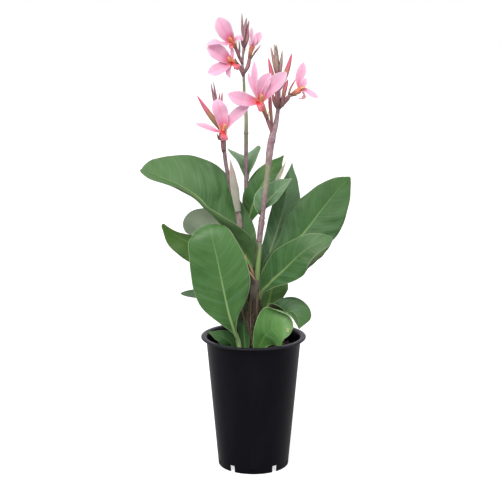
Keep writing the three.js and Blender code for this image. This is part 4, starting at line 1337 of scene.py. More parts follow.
@dataclass
class PottingMix:
    """The mix in the pot: a crumbly top with bark chips and crumbs on it."""

    pot: NurseryPot
    height: float = 212.0
    relief: float = 2.2
    clearance: float = 0.6
    rings: int = 44
    sides: int = 96
    chips: int = 620
    bark_share: float = 0.4
    bark_sizes: tuple[float, float] = (2.0, 5.5)
    crumb_sizes: tuple[float, float] = (0.8, 2.2)
    shoulder: float = 8.0  # how far under its middle the mix leaves the wall
    gap: float = 0.3  # over the pot's floor
    seed: int = 7
    finish: MixFinish = field(default_factory=MixFinish)

    def inner(self, z: float) -> float:
        """The mix's radius at a height."""
        return self.pot.wall_radius(z) - self.pot.wall - self.clearance

    def top(self, x: Array, y: Array) -> Array:
        """The height of the surface at a place.

        Args:
            x: millimetres to the right.
            y: millimetres back.

        Returns:
            Millimetres.
        """
        radius, turn = np.hypot(x, y), np.arctan2(y, x)
        wide = 0.6 * np.sin(0.19 * radius + 3 * turn) + 0.5 * np.sin(0.31 * x + 1.3)
        wide += 0.5 * np.sin(0.27 * y + 5 * turn)
        fine = 0.35 * np.sin(1.1 * x + 2.1 * np.sin(0.7 * y)) * np.sin(1.3 * y + 1.7 * np.sin(0.9 * x))
        return self.height + self.relief * (wide - (radius / 80) ** 4) + fine

    def _ground(self) -> Piece:
        """The mix itself, a closed body that fills the pot."""
        bottom = self.pot.wall + self.gap
        low, high = self.pot.floor_height + bottom, self.height - self.shoulder
        foot, edge = self.pot.foot_radius, self.inner(high)
        lower = [(0.0, bottom), (foot, bottom), (foot + 2, low), (self.inner(low), low), (edge, high)]

        def form(across: Array, up: Array) -> tuple[Array, Array, Array]:
            """The mix's points and marks, from shares round and from its bottom to its middle."""
            step = up * (len(lower) + self.rings)
            turn = 2 * np.pi * across
            below = np.array(lower)
            climbing = step <= len(lower) - 1
            inward = np.clip(1 - (step - len(lower)) / self.rings, 0, 1)
            radius = np.where(climbing, np.interp(step, range(len(lower)), below[:, 0]), edge * inward)
            x, y = radius * np.cos(turn), radius * np.sin(turn)
            z = np.where(climbing, np.interp(step, range(len(lower)), below[:, 1]), self.top(x, y))
            nothing = np.zeros((len(x), 3))
            return np.stack([x, y, z], 1), nothing, nothing

        piece = grown("mix_ground", self.sides, len(lower) + self.rings, form)
        seal(piece)
        return piece

    def _litter(self) -> Piece:
        """Bark chips and crumbs that lie on the mix, copied from one rough stone."""
        draw = np.random.default_rng(self.seed)
        deselect()
        bpy.ops.mesh.primitive_ico_sphere_add(subdivisions=1, radius=1)
        pattern = bpy.context.object
        corners = places_of(pattern) * draw.uniform(0.8, 1.15, (len(pattern.data.vertices), 1))
        faces = np.array([tuple(face.vertices) for face in pattern.data.polygons])
        bpy.data.objects.remove(pattern)
        far = self.inner(self.height) - 4
        places, links, tones = [], [], []
        for index in range(self.chips):
            radius, turn = far * math.sqrt(draw.uniform(0, 1)), draw.uniform(0, 2 * math.pi)
            x, y = radius * math.cos(turn), radius * math.sin(turn)
            bark = draw.uniform(0, 1) < self.bark_share
            size = draw.uniform(*(self.bark_sizes if bark else self.crumb_sizes))
            stretch = np.array([1.0, draw.uniform(0.35, 0.7), draw.uniform(0.2, 0.4) if bark else 0.7]) * size
            spin, tilt = draw.uniform(0, 2 * math.pi), draw.normal(0, 0.3)
            (c, s), (d, t) = ((math.cos(angle), math.sin(angle)) for angle in (spin, tilt))
            around = np.array([[c, -s, 0], [s, c, 0], [0, 0, 1]])
            turned = around @ np.array([[1, 0, 0], [0, d, -t], [0, t, d]])
            middle = np.array([x, y, float(self.top(np.array(x), np.array(y))) + 0.3 * stretch[2]])
            links.append(faces + len(corners) * index)
            places.append((corners * stretch) @ turned.T + middle)
            tones.append(np.full(len(corners), draw.uniform(0.35, 1.0) if bark else draw.uniform(0.0, 0.5)))
        mesh = bpy.data.meshes.new("mix_litter")
        mesh.from_pydata(np.vstack(places) * MM, [], np.vstack(links).tolist())
        piece = bpy.data.objects.new("mix_litter", mesh)
        bpy.context.scene.collection.objects.link(piece)
        tone = np.concatenate(tones)
        mark(piece, "grain", np.zeros((len(tone), 3)))
        mark(piece, "place", np.stack([tone, np.ones(len(tone)), np.zeros(len(tone))], 1))
        return piece

    def build(self) -> Piece:
        """The dressed mix."""
        piece = joined([self._ground(), self._litter()], "mix")
        dress(piece, self.finish)
        return place(piece, "potting_mix", "potting_mix")


# ---------------------------------------------------------------- stalks and old sheath


@dataclass(frozen=True)
class Sheath:
    """A leaf's sheath round a stalk: its top edge is slanted, from low on one side to high on the other."""

    foot: float
    low: float
    high: float
    turn: float  # degrees round the stalk, where the edge is highest
    green: float = 0.3
    dark: float = 0.0
    proud: float = 0.7


@dataclass(frozen=True)
class Stalk:
    """A stalk with its colours and sheaths. Greenness and darkness are at equal steps along it."""

    path: Points
    radii: tuple[float, ...]
    green: Sizes
    foot: Sizes
    sheaths: tuple[Sheath, ...] = ()

    def tube(self) -> Tube:
        """The stalk as a tube."""
        return Tube(self.path, self.radii, (self.green, self.foot))


@dataclass(frozen=True)
class Joint:
    """The ring where a leaf joined a stalk."""

    at: Point
    radius: float
    lean: float = 0.0


STALKS: dict[str, Stalk] = {
    "main": Stalk(
        ((-4, 2, 190), (-2, 1, 250), (1, 0, 290), (4, -2, 337)), (12, 10.5, 9, 7.5),
        green=(0.1, 0.1, 0.2, 0.4), foot=(0.9, 0.85, 0.75, 0.5),
    ),
    "left": Stalk(
        ((2, -2, 325), (-6, -6, 355), (-14, -10, 381), (-22, -13, 408), (-24, -14, 432), (-29, -14, 469),
         (-38, -14, 497), (-47, -14, 538), (-50, -14, 562)),
        (5.5, 5, 4.8, 4.6, 4.4, 3.9, 3.4, 3.4),
        green=(0.2, 0.15, 0.2, 0.25, 0.15, 0.05, 0, 0), foot=(0.8, 0.7, 0.4, 0.15, 0.1, 0.3, 0.4, 0.45),
        sheaths=(Sheath(327, 350, 398, 190, 0.0, 0.8, 1.3), Sheath(430, 452, 468, 200, 0.2)),
    ),
    "right": Stalk(
        ((5, -2, 325), (8, -6, 368), (10, -8, 389), (11, -10, 416), (16, -12, 455), (20, -12, 493),
         (23, -12, 519), (29, -12, 572), (32, -12, 587)),
        (5.5, 4.6, 4.1, 4.3, 4.2, 4.9, 4.5, 6, 6.2),
        green=(0.9, 1, 0.9, 0.35, 0, 0, 0.35, 0.45, 0, 0), foot=(0.1, 0, 0, 0.1, 0.25, 0.25, 0.05, 0, 0, 0),
        sheaths=(Sheath(404, 432, 446, 250, 0.05, 0.15),),
    ),
    "rear": Stalk(
        ((-6, 26, 190), (-8, 30, 294), (-11, 33, 383), (-13, 33, 455), (-13, 32, 516), (-13, 31, 562),
         (-13, 30, 622), (-16, 29, 655)),
        (8.5, 6.5, 5, 4, 3.7, 3.6, 3.5, 2.8),
        green=(0.9, 0.9, 0.6, 0.3, 0.15, 0.1, 0.05, 0.5, 0.45), foot=(0.3, 0.1, 0.1, 0.1, 0.1, 0.05, 0, 0),
    ),
}
JOINTS = (
    Joint((-29, -14, 469), 5.3, -0.15),
    Joint((14.5, -11.6, 446), 5.8, 0.12),
    Joint((26, -12, 541), 5.5, 0.1),
)
REAR_JOINT = Joint((-13, 30.8, 588), 4.6)
# The midlines of the pale shreds at the fork.
TORN: tuple[Points, ...] = (
    ((-17, -18.5, 392), (-15, -18.5, 384), (-13, -18.5, 374)),
    ((-11, -19, 362), (-7, -20, 353), (-1, -20, 345), (3, -20, 338)),
    ((-8, -18.5, 367), (-4, -19, 358), (0, -19.5, 349)),
)


def dry_shred(rib: Points, width: float, light: float, turn: float = 0.0, curl: float = 45.0) -> Piece:
    """Makes a dead shred of sheath in front of a stalk.

    Args:
        rib: its midline.
        width: its half width.
        light: how pale it is, from 0 to 1.
        turn: how far it faces sideways.
        curl: how far its edges turn in, in degrees.

    Returns:
        The undressed shred.
    """
    widths = (0.4, width * 0.7, width, width * 0.8, 0.3)
    shape = Blade(rib, ((turn, -1.0, 0.0),), widths, curl_left=curl, tip=0.05)
    detail = replace(SMOOTH, rows=24, columns=6, thickness=0.4, frill=0.5, frill_step=13.0)
    return even(blade_skin("shred", shape, detail, pale=0.0), light)


@dataclass
class Shoot:
    """Some stalks that grow together, with their joints, the sheaths of fallen leaves and torn shreds."""

    node: str
    stalks: tuple[str, ...]
    joints: tuple[Joint, ...]
    shreds: tuple[Points, ...] = ()
    shred_width: float = 1.5
    sheath_wall: float = 0.4
    ring: tuple[float, ...] = (0.62, 0.84, 1.0, 0.84, 0.62)  # a joint's section, as shares of its radius
    ring_height: float = 6.0

    def _sheath(self, stalk: Stalk, sheath: Sheath) -> Piece:
        """A sheath, wrapped from its foot up to its slanted edge.

        Args:
            stalk: what it wraps.
            sheath: its measures.

        Returns:
            The thickened skin.
        """
        line = Path(stalk.path)
        heights = line.places[:, 2]

        def form(across: Array, up: Array) -> tuple[Array, Array, Array]:
            """The sheath's points and marks, from shares round and up."""
            turn = 2 * np.pi * across
            high = ease(0.5 + 0.5 * np.cos(turn - math.radians(sheath.turn)), 0, 1)
            z = sheath.foot + (sheath.low + (sheath.high - sheath.low) * high - sheath.foot) * up
            t = np.interp(z, heights, line.shares)
            centre = np.stack([np.interp(z, heights, line.places[:, k]) for k in range(3)], 1)
            loose = sheath.proud * (0.35 + 0.65 * up) + 0.5 * ease(up, 0.85, 1.0)
            radius = along(stalk.radii, t) + loose
            out = np.stack([radius * np.cos(turn), radius * np.sin(turn), np.zeros(len(turn))], 1)
            grain = np.stack([out[:, 0], out[:, 1], z], 1)
            edge = ease(up, 0.93, 1.0)
            dark = sheath.dark + (0.45 - 1.2 * sheath.dark) * edge
            shade = np.stack([up, sheath.green + 0.25 * ease(up, 0.9, 1.0), dark], 1)
            return centre + out, grain, shade

        piece = grown("sheath", 28, 24, form)
        seal(piece)
        thicken(piece, np.full(len(piece.data.vertices), self.sheath_wall))
        return piece

    def build(self) -> Piece:
        """The dressed shoot."""
        stalks = [STALKS[name] for name in self.stalks]
        parts = []
        for name, stalk in zip(self.stalks, stalks):
            parts.append(stalk.tube().skin(f"stalk_{name}", sides=20, steps=64, bumps=0.12))
        half = self.ring_height / 2
        for joint in self.joints:
            x, y, z = joint.at
            ends = tuple((x + k * joint.lean, y, z + k) for k in (-half, 0.0, half))
            radii = tuple(joint.radius * share for share in self.ring)
            parts.append(Tube(ends, radii, (0.15, 0.35)).skin("joint", sides=20, steps=12))
        parts += [self._sheath(stalk, sheath) for stalk in stalks for sheath in stalk.sheaths]
        piece = joined(parts, self.node)
        dress(piece, STALK)
        lights = [1.0 - 0.15 * index for index in range(len(self.shreds))]
        shreds = [dry_shred(rib, self.shred_width, light) for rib, light in zip(self.shreds, lights)]
        for shred in shreds:
            dress(shred, TORN_EDGE)
        return place(joined([piece, *shreds], self.node), self.node, "stalk")


@dataclass
class OldSheath:
    """The torn brown sheath round the foot of the front shoot, with strands that stand off it."""

    foot: float = 216.0
    heights: tuple[float, ...] = (300, 322, 276, 316, 290, 326, 284, 310, 268, 320, 294)
    wall: float = 1.6  # how far it stands off the stalk
    thickness: float = 0.7
    strands: int = 13
    seed: int = 5
    fringe: tuple[Points, ...] = (
        ((-20, -20, 264), (-25, -21, 282), (-24, -20, 297)),
        ((-13, -20, 258), (-19, -21, 280), (-20, -20, 303)),
        ((-9, -20, 244), (-14, -21, 276), (-15, -19, 306)),
        ((-11, -20, 262), (-14, -22, 280), (-18, -20, 290)),
        ((-6, -19, 234), (-9, -21, 272), (-10, -18, 310)),
        ((-7, -19, 240), (-11, -21, 262), (-12, -21, 287)),
        ((-4, -17, 228), (-5, -19, 266), (-4, -16, 309)),
        ((-2, -17, 230), (-1, -19, 270), (1, -15, 306)),
    )

    def _tall(self, turn: Array) -> Array:
        """The torn edge's height round the stalk.

        Args:
            turn: angles round the stalk.

        Returns:
            Heights in millimetres.
        """
        steps = len(self.heights)
        at = turn / (2 * np.pi) * steps
        i = np.floor(at).astype(int)
        tops = np.array(self.heights)
        saw = tops[i % steps] + (tops[(i + 1) % steps] - tops[i % steps]) * (at - i)
        return saw + 3.0 * np.sin(13 * turn) + 2.0 * np.sin(29 * turn)

    def _wrap(self) -> Piece:
        """The part that still wraps the stalk."""
        stalk = STALKS["main"]
        line = Path(stalk.path)
        heights = line.places[:, 2]

        def form(across: Array, up: Array) -> tuple[Array, Array, Array]:
            """The old sheath's points and marks, from shares round and up."""
            turn = 2 * np.pi * across
            z = self.foot + (self._tall(turn) - self.foot) * up
            t = np.interp(z, heights, line.shares)
            centre = np.stack([np.interp(z, heights, line.places[:, k]) for k in range(3)], 1)
            ridge = 0.45 * np.sin(17 * turn + 0.02 * z) + 0.3 * np.sin(41 * turn)
            radius = along(stalk.radii, t) + self.wall + 0.8 * up + ridge
            out = np.stack([radius * np.cos(turn), radius * np.sin(turn), np.zeros(len(turn))], 1)
            light = np.clip(0.12 + 0.5 * np.sin(5 * turn + 0.6) * up, 0, 0.6)
            return centre + out, np.stack([out[:, 0], out[:, 1], z], 1), np.stack([up, light, light * 0], 1)

        piece = grown("old_wrap", 132, 30, form)
        seal(piece)
        thicken(piece, np.full(len(piece.data.vertices), self.thickness))
        return piece

    def _strand(self, draw: np.random.Generator, index: int) -> Piece:
        """A torn strip that leaves the stalk and curls at its end.

        Args:
            draw: the random numbers.
            index: which strand, for its side.

        Returns:
            The strip.
        """
        turn = 2 * math.pi * (index + draw.uniform(-0.3, 0.3)) / self.strands
        out = np.array([math.cos(turn), math.sin(turn), 0.0])
        stalk = STALKS["main"]
        line = Path(stalk.path)
        ground, fork = stalk.path[0][2], stalk.path[-1][2]
        low = draw.uniform(222, 262)
        high = low + draw.uniform(30, 62)
        rib = []
        for share, off in ((0.0, 0.6), (0.4, 1.2), (0.75, 2.2), (1.0, draw.uniform(2.5, 5.5))):
            z = low + (high - low) * share
            centre = np.array([np.interp(z, line.places[:, 2], line.places[:, k]) for k in range(3)])
            radius = float(along(stalk.radii, np.array((z - ground) / (fork - ground)))) + self.wall + off
            rib.append(tuple(centre + out * radius))
        width = draw.uniform(0.9, 2.4)
        widths = (width, width * 0.8, width * 0.5, 0.3)
        strip = Blade(tuple(rib), (tuple(out),), widths, curl_left=draw.uniform(-60, 80), tip=0.05)
        detail = replace(SMOOTH, rows=18, columns=6, thickness=0.4, frill=0.3, frill_step=17.0)
        return even(blade_skin("strand", strip, detail, pale=0.0), draw.uniform(0.0, 0.6))

    def _shred(self, draw: np.random.Generator, rib: Points) -> Piece:
        """A dead shred that hangs in front of the stalk."""
        width, light = draw.uniform(1.0, 2.2), draw.choice((0.0, 0.1, 0.6))
        return dry_shred(rib, width, light, turn=draw.uniform(-0.5, 0.5), curl=draw.uniform(20, 70))

    def build(self) -> Piece:
        """The dressed sheath."""
        draw = np.random.default_rng(self.seed)
        parts = [self._wrap()] + [self._strand(draw, index) for index in range(self.strands)]
        parts += [self._shred(draw, rib) for rib in self.fringe]
        piece = joined(parts, "old_sheath")
        dress(piece, DRY)
        return place(piece, "old_sheath", "old_sheath")


# ---------------------------------------------------------------- leaves

LEAVES: dict[str, Blade] = {
    "leaf_left_large": Blade(
        rib=((-4, -6, 357), (-13, -13, 378), (-23, -19, 396), (-35, -23, 416), (-47, -25, 432),
             (-63, -26, 449), (-78, -25, 465), (-91, -24, 481), (-125, -19, 503), (-155, -12, 515),
             (-176, -5, 523), (-193, 0, 530)),
        face=((0.95, 0, 0.3), (0.8, -0.2, 0.5), (0.5, -0.45, 0.7), (0.32, -0.59, 0.73), (0.3, -0.6, 0.73),
             (0.2, -0.6, 0.75)),
        left=(6, 20, 31, 32, 29, 29, 30, 30, 29, 25, 12), right=(7, 22, 38, 49, 57, 63, 67, 67, 62, 48, 22),
        fold_left=(70, 62, 52, 38, 30, 30, 28, 26, 20), fold_right=(70, 60, 48, 36, 30, 26, 20, 14, 10),
        curl_left=(60, 50, 30, 10, -10, -15, -15, -10, 0), curl_right=(60, 40, 10, -5, -10, -10, -10, -6, 0),
        roll_left=(0, 0, 0, 10, 60, 90, 100, 80, 30, 0, 0), stem=4, wave=(2, 2, 0.1), tip=0.03,
    ),
    "leaf_front_upright": Blade(
        rib=((-24, -16, 202), (-27, -22, 230), (-34, -31, 252), (-42, -40, 281), (-52, -53, 332),
             (-57, -58, 359), (-62, -62, 386), (-67, -62, 408), (-72, -58, 427), (-76, -50, 437),
             (-78, -38, 440)),
        face=((-0.2, -1, 0.2), (-0.1, -1, 0.1), (-0.05, -1, 0.1), (-0.05, -1, 0.2), (-0.1, -0.7, 0.8)),
        left=(3, 20, 42, 50, 50, 47, 42, 32), right=(3, 13, 33, 47, 49, 43, 34, 24),
        fold_left=(30, 10, 8, 6, 0), curl_left=(0, -8, -14, -20, -20), petiole=0.17, stem=3,
        wave=(1.5, 2, 0.3), tip=0.16,
    ),
    "leaf_right_upper": Blade(
        rib=((9, 2, 330), (25, 8, 362), (41, 14, 376), (64, 19, 391), (83, 23, 408), (99, 26, 427),
             (116, 28, 450), (137, 28, 477), (152, 26, 496), (168, 22, 513)),
        face=((0, -0.9, 0.5), (-0.1, -0.95, 0.35)),
        left=(3, 9, 15, 26, 38, 44, 44, 38, 32, 20, 4), right=(3, 10, 24, 36, 44, 48, 50, 46, 36, 24, 6),
        fold_left=(30, 14, 10, 8, 4), curl_left=(0, -8, -12, -6), petiole=0.06, stem=4, wave=(2, 1.5, 0.2),
        tip=0.05,
    ),
    "leaf_right_lower": Blade(
        rib=((9, -4, 300), (15, -10, 317), (25, -18, 329), (33, -26, 340), (52, -36, 360),
             (65, -43, 375), (79, -49, 390), (95, -52, 403), (116, -52, 413), (134, -50, 418)),
        face=((0, -0.8, 0.6), (0.1, -0.8, 0.6)),
        left=(3, 18, 24, 31, 36, 35, 31, 27, 22, 14, 4), right=(3, 9, 14, 22, 28, 35, 41, 44, 42, 30, 10),
        fold_left=(30, 14, 8, 6, 4), fold_right=(30, 16, 8, 0, -10, -10), curl_left=(0, -8, -12, -6),
        curl_right=(0, 0, 0, 0, 10, 20, 10), roll_right=(0, 0, 0, 10, 60, 150, 175, 120),
        petiole=0.08, stem=4, wave=(1.5, 1.5, 0.5), tip=0.08,
    ),
    "leaf_centre_back": Blade(
        rib=((-10, 31, 404), (-10, 26, 424), (-6, 24, 447), (2, 26, 472), (14, 31, 497), (31, 37, 523),
             (53, 43, 548)),
        face=((-0.2, -1, 0.2), (-0.1, -1, 0.2)),
        left=(3, 14, 22, 24, 21, 12, 1), right=(3, 14, 24, 28, 26, 15, 1),
        fold_left=(30, 14, 8, 6), curl_left=(0, -6, -10, -4), petiole=0.14, stem=3.2, wave=(1.2, 1.5, 0.4),
        tip=0.02,
    ),
    "leaf_on_right_stalk": Blade(
        rib=((14, -6, 450), (16, -2, 462), (23, 3, 472), (34, 8, 483), (48, 12, 496), (66, 15, 511)),
        face=((-0.2, -1, 0.5), (-0.1, -1, 0.4)),
        left=(8, 22, 25, 20, 13, 1), right=(4, 11, 13, 11, 7, 1),
        fold_left=(40, 16, 8, 10), curl_left=(30, -4, -8, 0), stem=3, wave=(1.2, 1.5, 0), tip=0.02,
    ),
    "leaf_right_back": Blade(
        rib=((9, 14, 320), (22, 26, 354), (32, 36, 384), (42, 42, 414), (52, 47, 449), (61, 50, 491),
             (68, 51, 534)),
        face=((0.1, -1, 0.1), (0.2, -1, 0.1)),
        left=(3, 16, 19, 22, 21, 12, 1), right=(3, 12, 20, 32, 39, 22, 1),
        fold_left=(-10, -16, -20, -10), fold_right=(-20, -30, -30, -20), curl_left=(0, -6, -10, 0),
        petiole=0.06, stem=4, wave=(1.2, 1.5, 0.3), tip=0.02,
    ),
    "leaf_on_rear_stalk": Blade(
        rib=((-12, 32, 508), (-10, 40, 522), (-11, 60, 533), (-13, 88, 540), (-16, 112, 540)),
        face=((0, -0.3, 1), (-0.05, 0.05, 1)),
        left=(6, 24, 36, 40, 22, 2), right=(6, 24, 34, 34, 24, 6),
        fold_left=(50, 38, 30, 26), fold_right=(60, 50, 44, 36), petiole=0.02, stem=3, wave=(1, 1.5, 0),
        tip=0.05,
    ),
    "leaf_left_back": Blade(
        rib=((-13, 37, 330), (-22, 42, 366), (-40, 50, 394), (-66, 60, 414), (-88, 70, 423),
             (-107, 77, 418), (-118, 80, 402)),
        face=((-0.2, 0.7, 0.7), (-0.2, 0.9, 0.3), (-0.3, 0.9, 0.1)),
        left=(3, 14, 22, 29, 30, 20), right=(3, 14, 24, 32, 34, 24),
        fold_left=(20, 8, 0, 0), curl_left=(0, -10, -14, -14), petiole=0.1, stem=3.5, wave=(1, 1.5, 0.2),
        tip=0.2,
    ),
    "leaf_left_bright": Blade(
        rib=((-12, 22, 262), (-18, 24, 304), (-44, 34, 343), (-81, 44, 372), (-115, 50, 391),
             (-140, 54, 405), (-162, 56, 425)),
        face=((-0.2, -0.9, 0.5), (0, -0.9, 0.45)),
        left=(3, 12, 22, 29, 30, 23, 5), right=(3, 14, 20, 22, 18, 8, 1),
        fold_left=(20, 8, 6, 0), curl_left=(0, -6, -6, 0), petiole=0.16, stem=3.5, wave=(1.2, 1.5, 0.6),
        tip=0.02,
    ),
    "leaf_left_small": Blade(
        rib=((-18, 10, 204), (-19, 12, 250), (-45, 24, 288), (-76, 32, 300), (-104, 36, 303),
             (-130, 36, 302)),
        face=((0, 0.5, 0.7), (0, 0.85, 0.4)),
        left=(2, 9, 12, 12, 10, 5), right=(2, 9, 13, 14, 11, 6),
        fold_left=(20, 6, 0, 0), curl_left=(0, -10, -16, -10), petiole=0.3, stem=3, wave=(1, 1.5, 0.2),
        tip=0.14,
    ),
    "leaf_front_low": Blade(
        rib=((-34, -6, 202), (-40, -20, 226), (-53, -32, 240), (-67, -40, 247), (-78, -43, 252)),
        face=((-0.1, -0.9, 0.5), (-0.2, -0.8, 0.7)),
        left=(4, 13, 17, 15, 9, 1), right=(3, 9, 15, 14, 8, 1),
        fold_left=(10, 6, 0, 0), curl_left=(0, -10, -16, -10), stem=3, wave=(1, 1.5, 0.2), tip=0.04,
    ),
    "leaf_centre_low": Blade(
        rib=((-14, -14, 204), (-16, -15.5, 235), (-17, -15, 272), (-13, -12, 312)),
        face=((0, -1, 0.05), (0.1, -1, 0.1)),
        left=(5, 9, 11, 11, 9, 1), right=(5, 9, 10, 10, 8, 1),
        fold_left=(8, 0, 0, 0), stem=2, wave=(0.6, 1, 0.2), tip=0.04,
    ),
    "leaf_right_front": Blade(
        rib=((6, -18, 202), (12, -28, 227), (22, -38, 247), (36, -48, 260), (51, -56, 265),
             (67, -61, 262)),
        face=((-0.4, -0.9, 0.2), (-0.3, -0.9, 0.35), (-0.1, -0.9, 0.45), (0.2, -0.9, 0.4)),
        left=(8, 16, 25, 40, 37, 26), right=(4, 12, 22, 31, 33, 25),
        fold_left=(16, 8, 4, 0), curl_left=(0, -6, -12, -20), curl_right=(0, -6, -10, -16),
        roll_left=(0, 0, 0, 30, 150, 170), petiole=0.06, stem=3.5, wave=(1.5, 2, 0.1), tip=0.24,
    ),
    "leaf_right_small": Blade(
        rib=((12, 8, 262), (22, 13, 276), (29, 15, 300), (35, 17, 323), (44, 21, 342), (54, 27, 356)),
        face=((0, -1, 0.2), (0.2, -1, 0.3)),
        left=(8, 16, 20, 20, 13, 1), right=(3, 14, 24, 27, 18, 1),
        fold_left=(34, 20, 10, 8), curl_left=(0, -10, -14, -4), petiole=0.12, stem=3.5, wave=(1.2, 1.5, 0.4),
        tip=0.05,
    ),
    "leaf_right_folded": Blade(
        rib=((12, -5, 240), (23, -8, 260), (41, -13, 275), (55, -18, 282), (67, -25, 283),
             (76, -33, 275), (79, -39, 256)),
        face=((-0.1, -0.2, 1), (0.2, -0.2, 1), (0.5, -0.6, 0.7), (0.5, -0.9, 0.2)),
        left=(3, 12, 20, 24, 27, 24, 2), right=(3, 13, 25, 22, 15, 9, 1),
        fold_left=(30, 62, 66, 56, 36, 20, 10), fold_right=(20, 76, 96, 60, 20, 0, 0),
        curl_left=(0, -6, -6, 0), petiole=0.14, stem=3.2, wave=(0.8, 1.5, 0), tip=0.04,
    ),
}

FINISHES: dict[str, Foliage] = {
    "leaf_left_large": Foliage.LARGE,
    "leaf_front_upright": Foliage.FRONT,
    "leaf_right_upper": Foliage.FULL,
    "leaf_right_lower": Foliage.OLIVE,
    "leaf_centre_back": Foliage.MIDDLE,
    "leaf_on_right_stalk": Foliage.GREYED,
    # The back right leaf lies in shade: its lighter greyed finish is partly its own greyer tone and partly
    # painted light.
    "leaf_right_back": Foliage.GREYED,
    "leaf_on_rear_stalk": Foliage.PALE,
    "leaf_left_back": Foliage.TURNED,
    "leaf_left_bright": Foliage.BRIGHT,
    "leaf_left_small": Foliage.GREYED,
    "leaf_front_low": Foliage.SHADED,
    "leaf_centre_low": Foliage.SHADED,
    "leaf_right_front": Foliage.SPECKLED,
    "leaf_right_small": Foliage.SHELTERED,
    "leaf_right_folded": Foliage.OLIVE,
}

BRACTS: dict[str, Blade] = {
    "bract_left": Blade(
        rib=((-26, -21, 458), (-30, -21.5, 486), (-34, -21, 512), (-40, -15, 547)),
        face=((0, 1, 0),), left=(6, 8, 8, 5, 1), right=(5, 7, 7, 5, 1), fold_left=(20, 16, 12), fold_right=0,
        curl_left=(60, 50, 30), curl_right=8,
    ),
    "young_leaf": Blade(
        rib=((19, 2, 456), (30, 20, 484), (43, 26, 506), (56, 31, 538)),
        face=((-0.5, -1, 0),), left=(2, 6, 7, 5, 1), fold_left=(30, 30, 20), curl_left=(50, 50, 40),
    ),
}


@dataclass
class Leaf:
    """One leaf of the clump, or a bract."""

    node: str
    blade: Blade
    finish: LeafFinish
    slot: str = "leaf"
    row_step: float = 2.0  # millimetres

    def build(self) -> Piece:
        """The dressed leaf."""
        rows = int(np.clip(self.blade.path.length / self.row_step, 36, 130))
        widest = float(max(np.max(self.blade.left), np.max(self.blade.right or 0)))
        lean = min(0.22, 0.95 * widest / self.blade.path.length)
        rolled = self.blade.roll_left or self.blade.roll_right
        columns = 48 if rolled else 28 if widest > 30 else 20
        detail = Relief(rows, columns, lean=lean, swell=min(0.5, widest * 0.012))
        piece = blade_skin(self.node, self.blade, detail, finishes=(self.finish,))
        return place(piece, self.node, self.slot)


AHEAD: Points = ((0, -1, 0),)


@dataclass
class LeafBases:
    """Three narrow leaf bases behind the stalks, which close the clump."""

    name: str = "leaf_bases_behind"
    blades: tuple[Blade, ...] = (
        Blade(((2, 12, 240), (3, 13, 300), (3, 13, 350), (1, 14, 400), (-4, 15, 444)),
              AHEAD, (5, 6, 6, 6.5, 5, 0.6), fold_left=25),
        Blade(((10, 10, 236), (13, 12, 268), (15, 13, 300), (14, 14, 330)),
              AHEAD, (4, 5, 5, 4, 0.6), fold_left=25),
        Blade(((-20, -2, 232), (-25, -1, 256), (-27, 0, 276), (-25, 1, 296)),
              AHEAD, (4, 5, 5, 3, 0.6), fold_left=25),
    )

    def build(self) -> Piece:
        """The dressed bases as one piece."""
        detail = Relief(rows=60, columns=12, lean=0.25, swell=0.1)
        finishes = (Foliage.MIDDLE.value,)
        parts = [blade_skin("base", blade, detail, finishes=finishes) for blade in self.blades]
        piece = joined(parts, self.name)
        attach(piece, BODY)
        return piece


# ---------------------------------------------------------------- flower heads


@dataclass(frozen=True)
class Bud:
    """A bud: where it runs, its radius, how far it has coloured (1 when opening), and where it is fattest."""

    path: Points
    radius: float
    pink: float = 0.0
    belly: float = 0.42


@dataclass(frozen=True)
class Head:
    """A flower head's rachis, the stalklets that carry its blooms, and its buds."""

    rachis: Tube
    stalklets: tuple[Tube, ...]
    buds: tuple[Bud, ...]
    tone: BudFinish = BUD


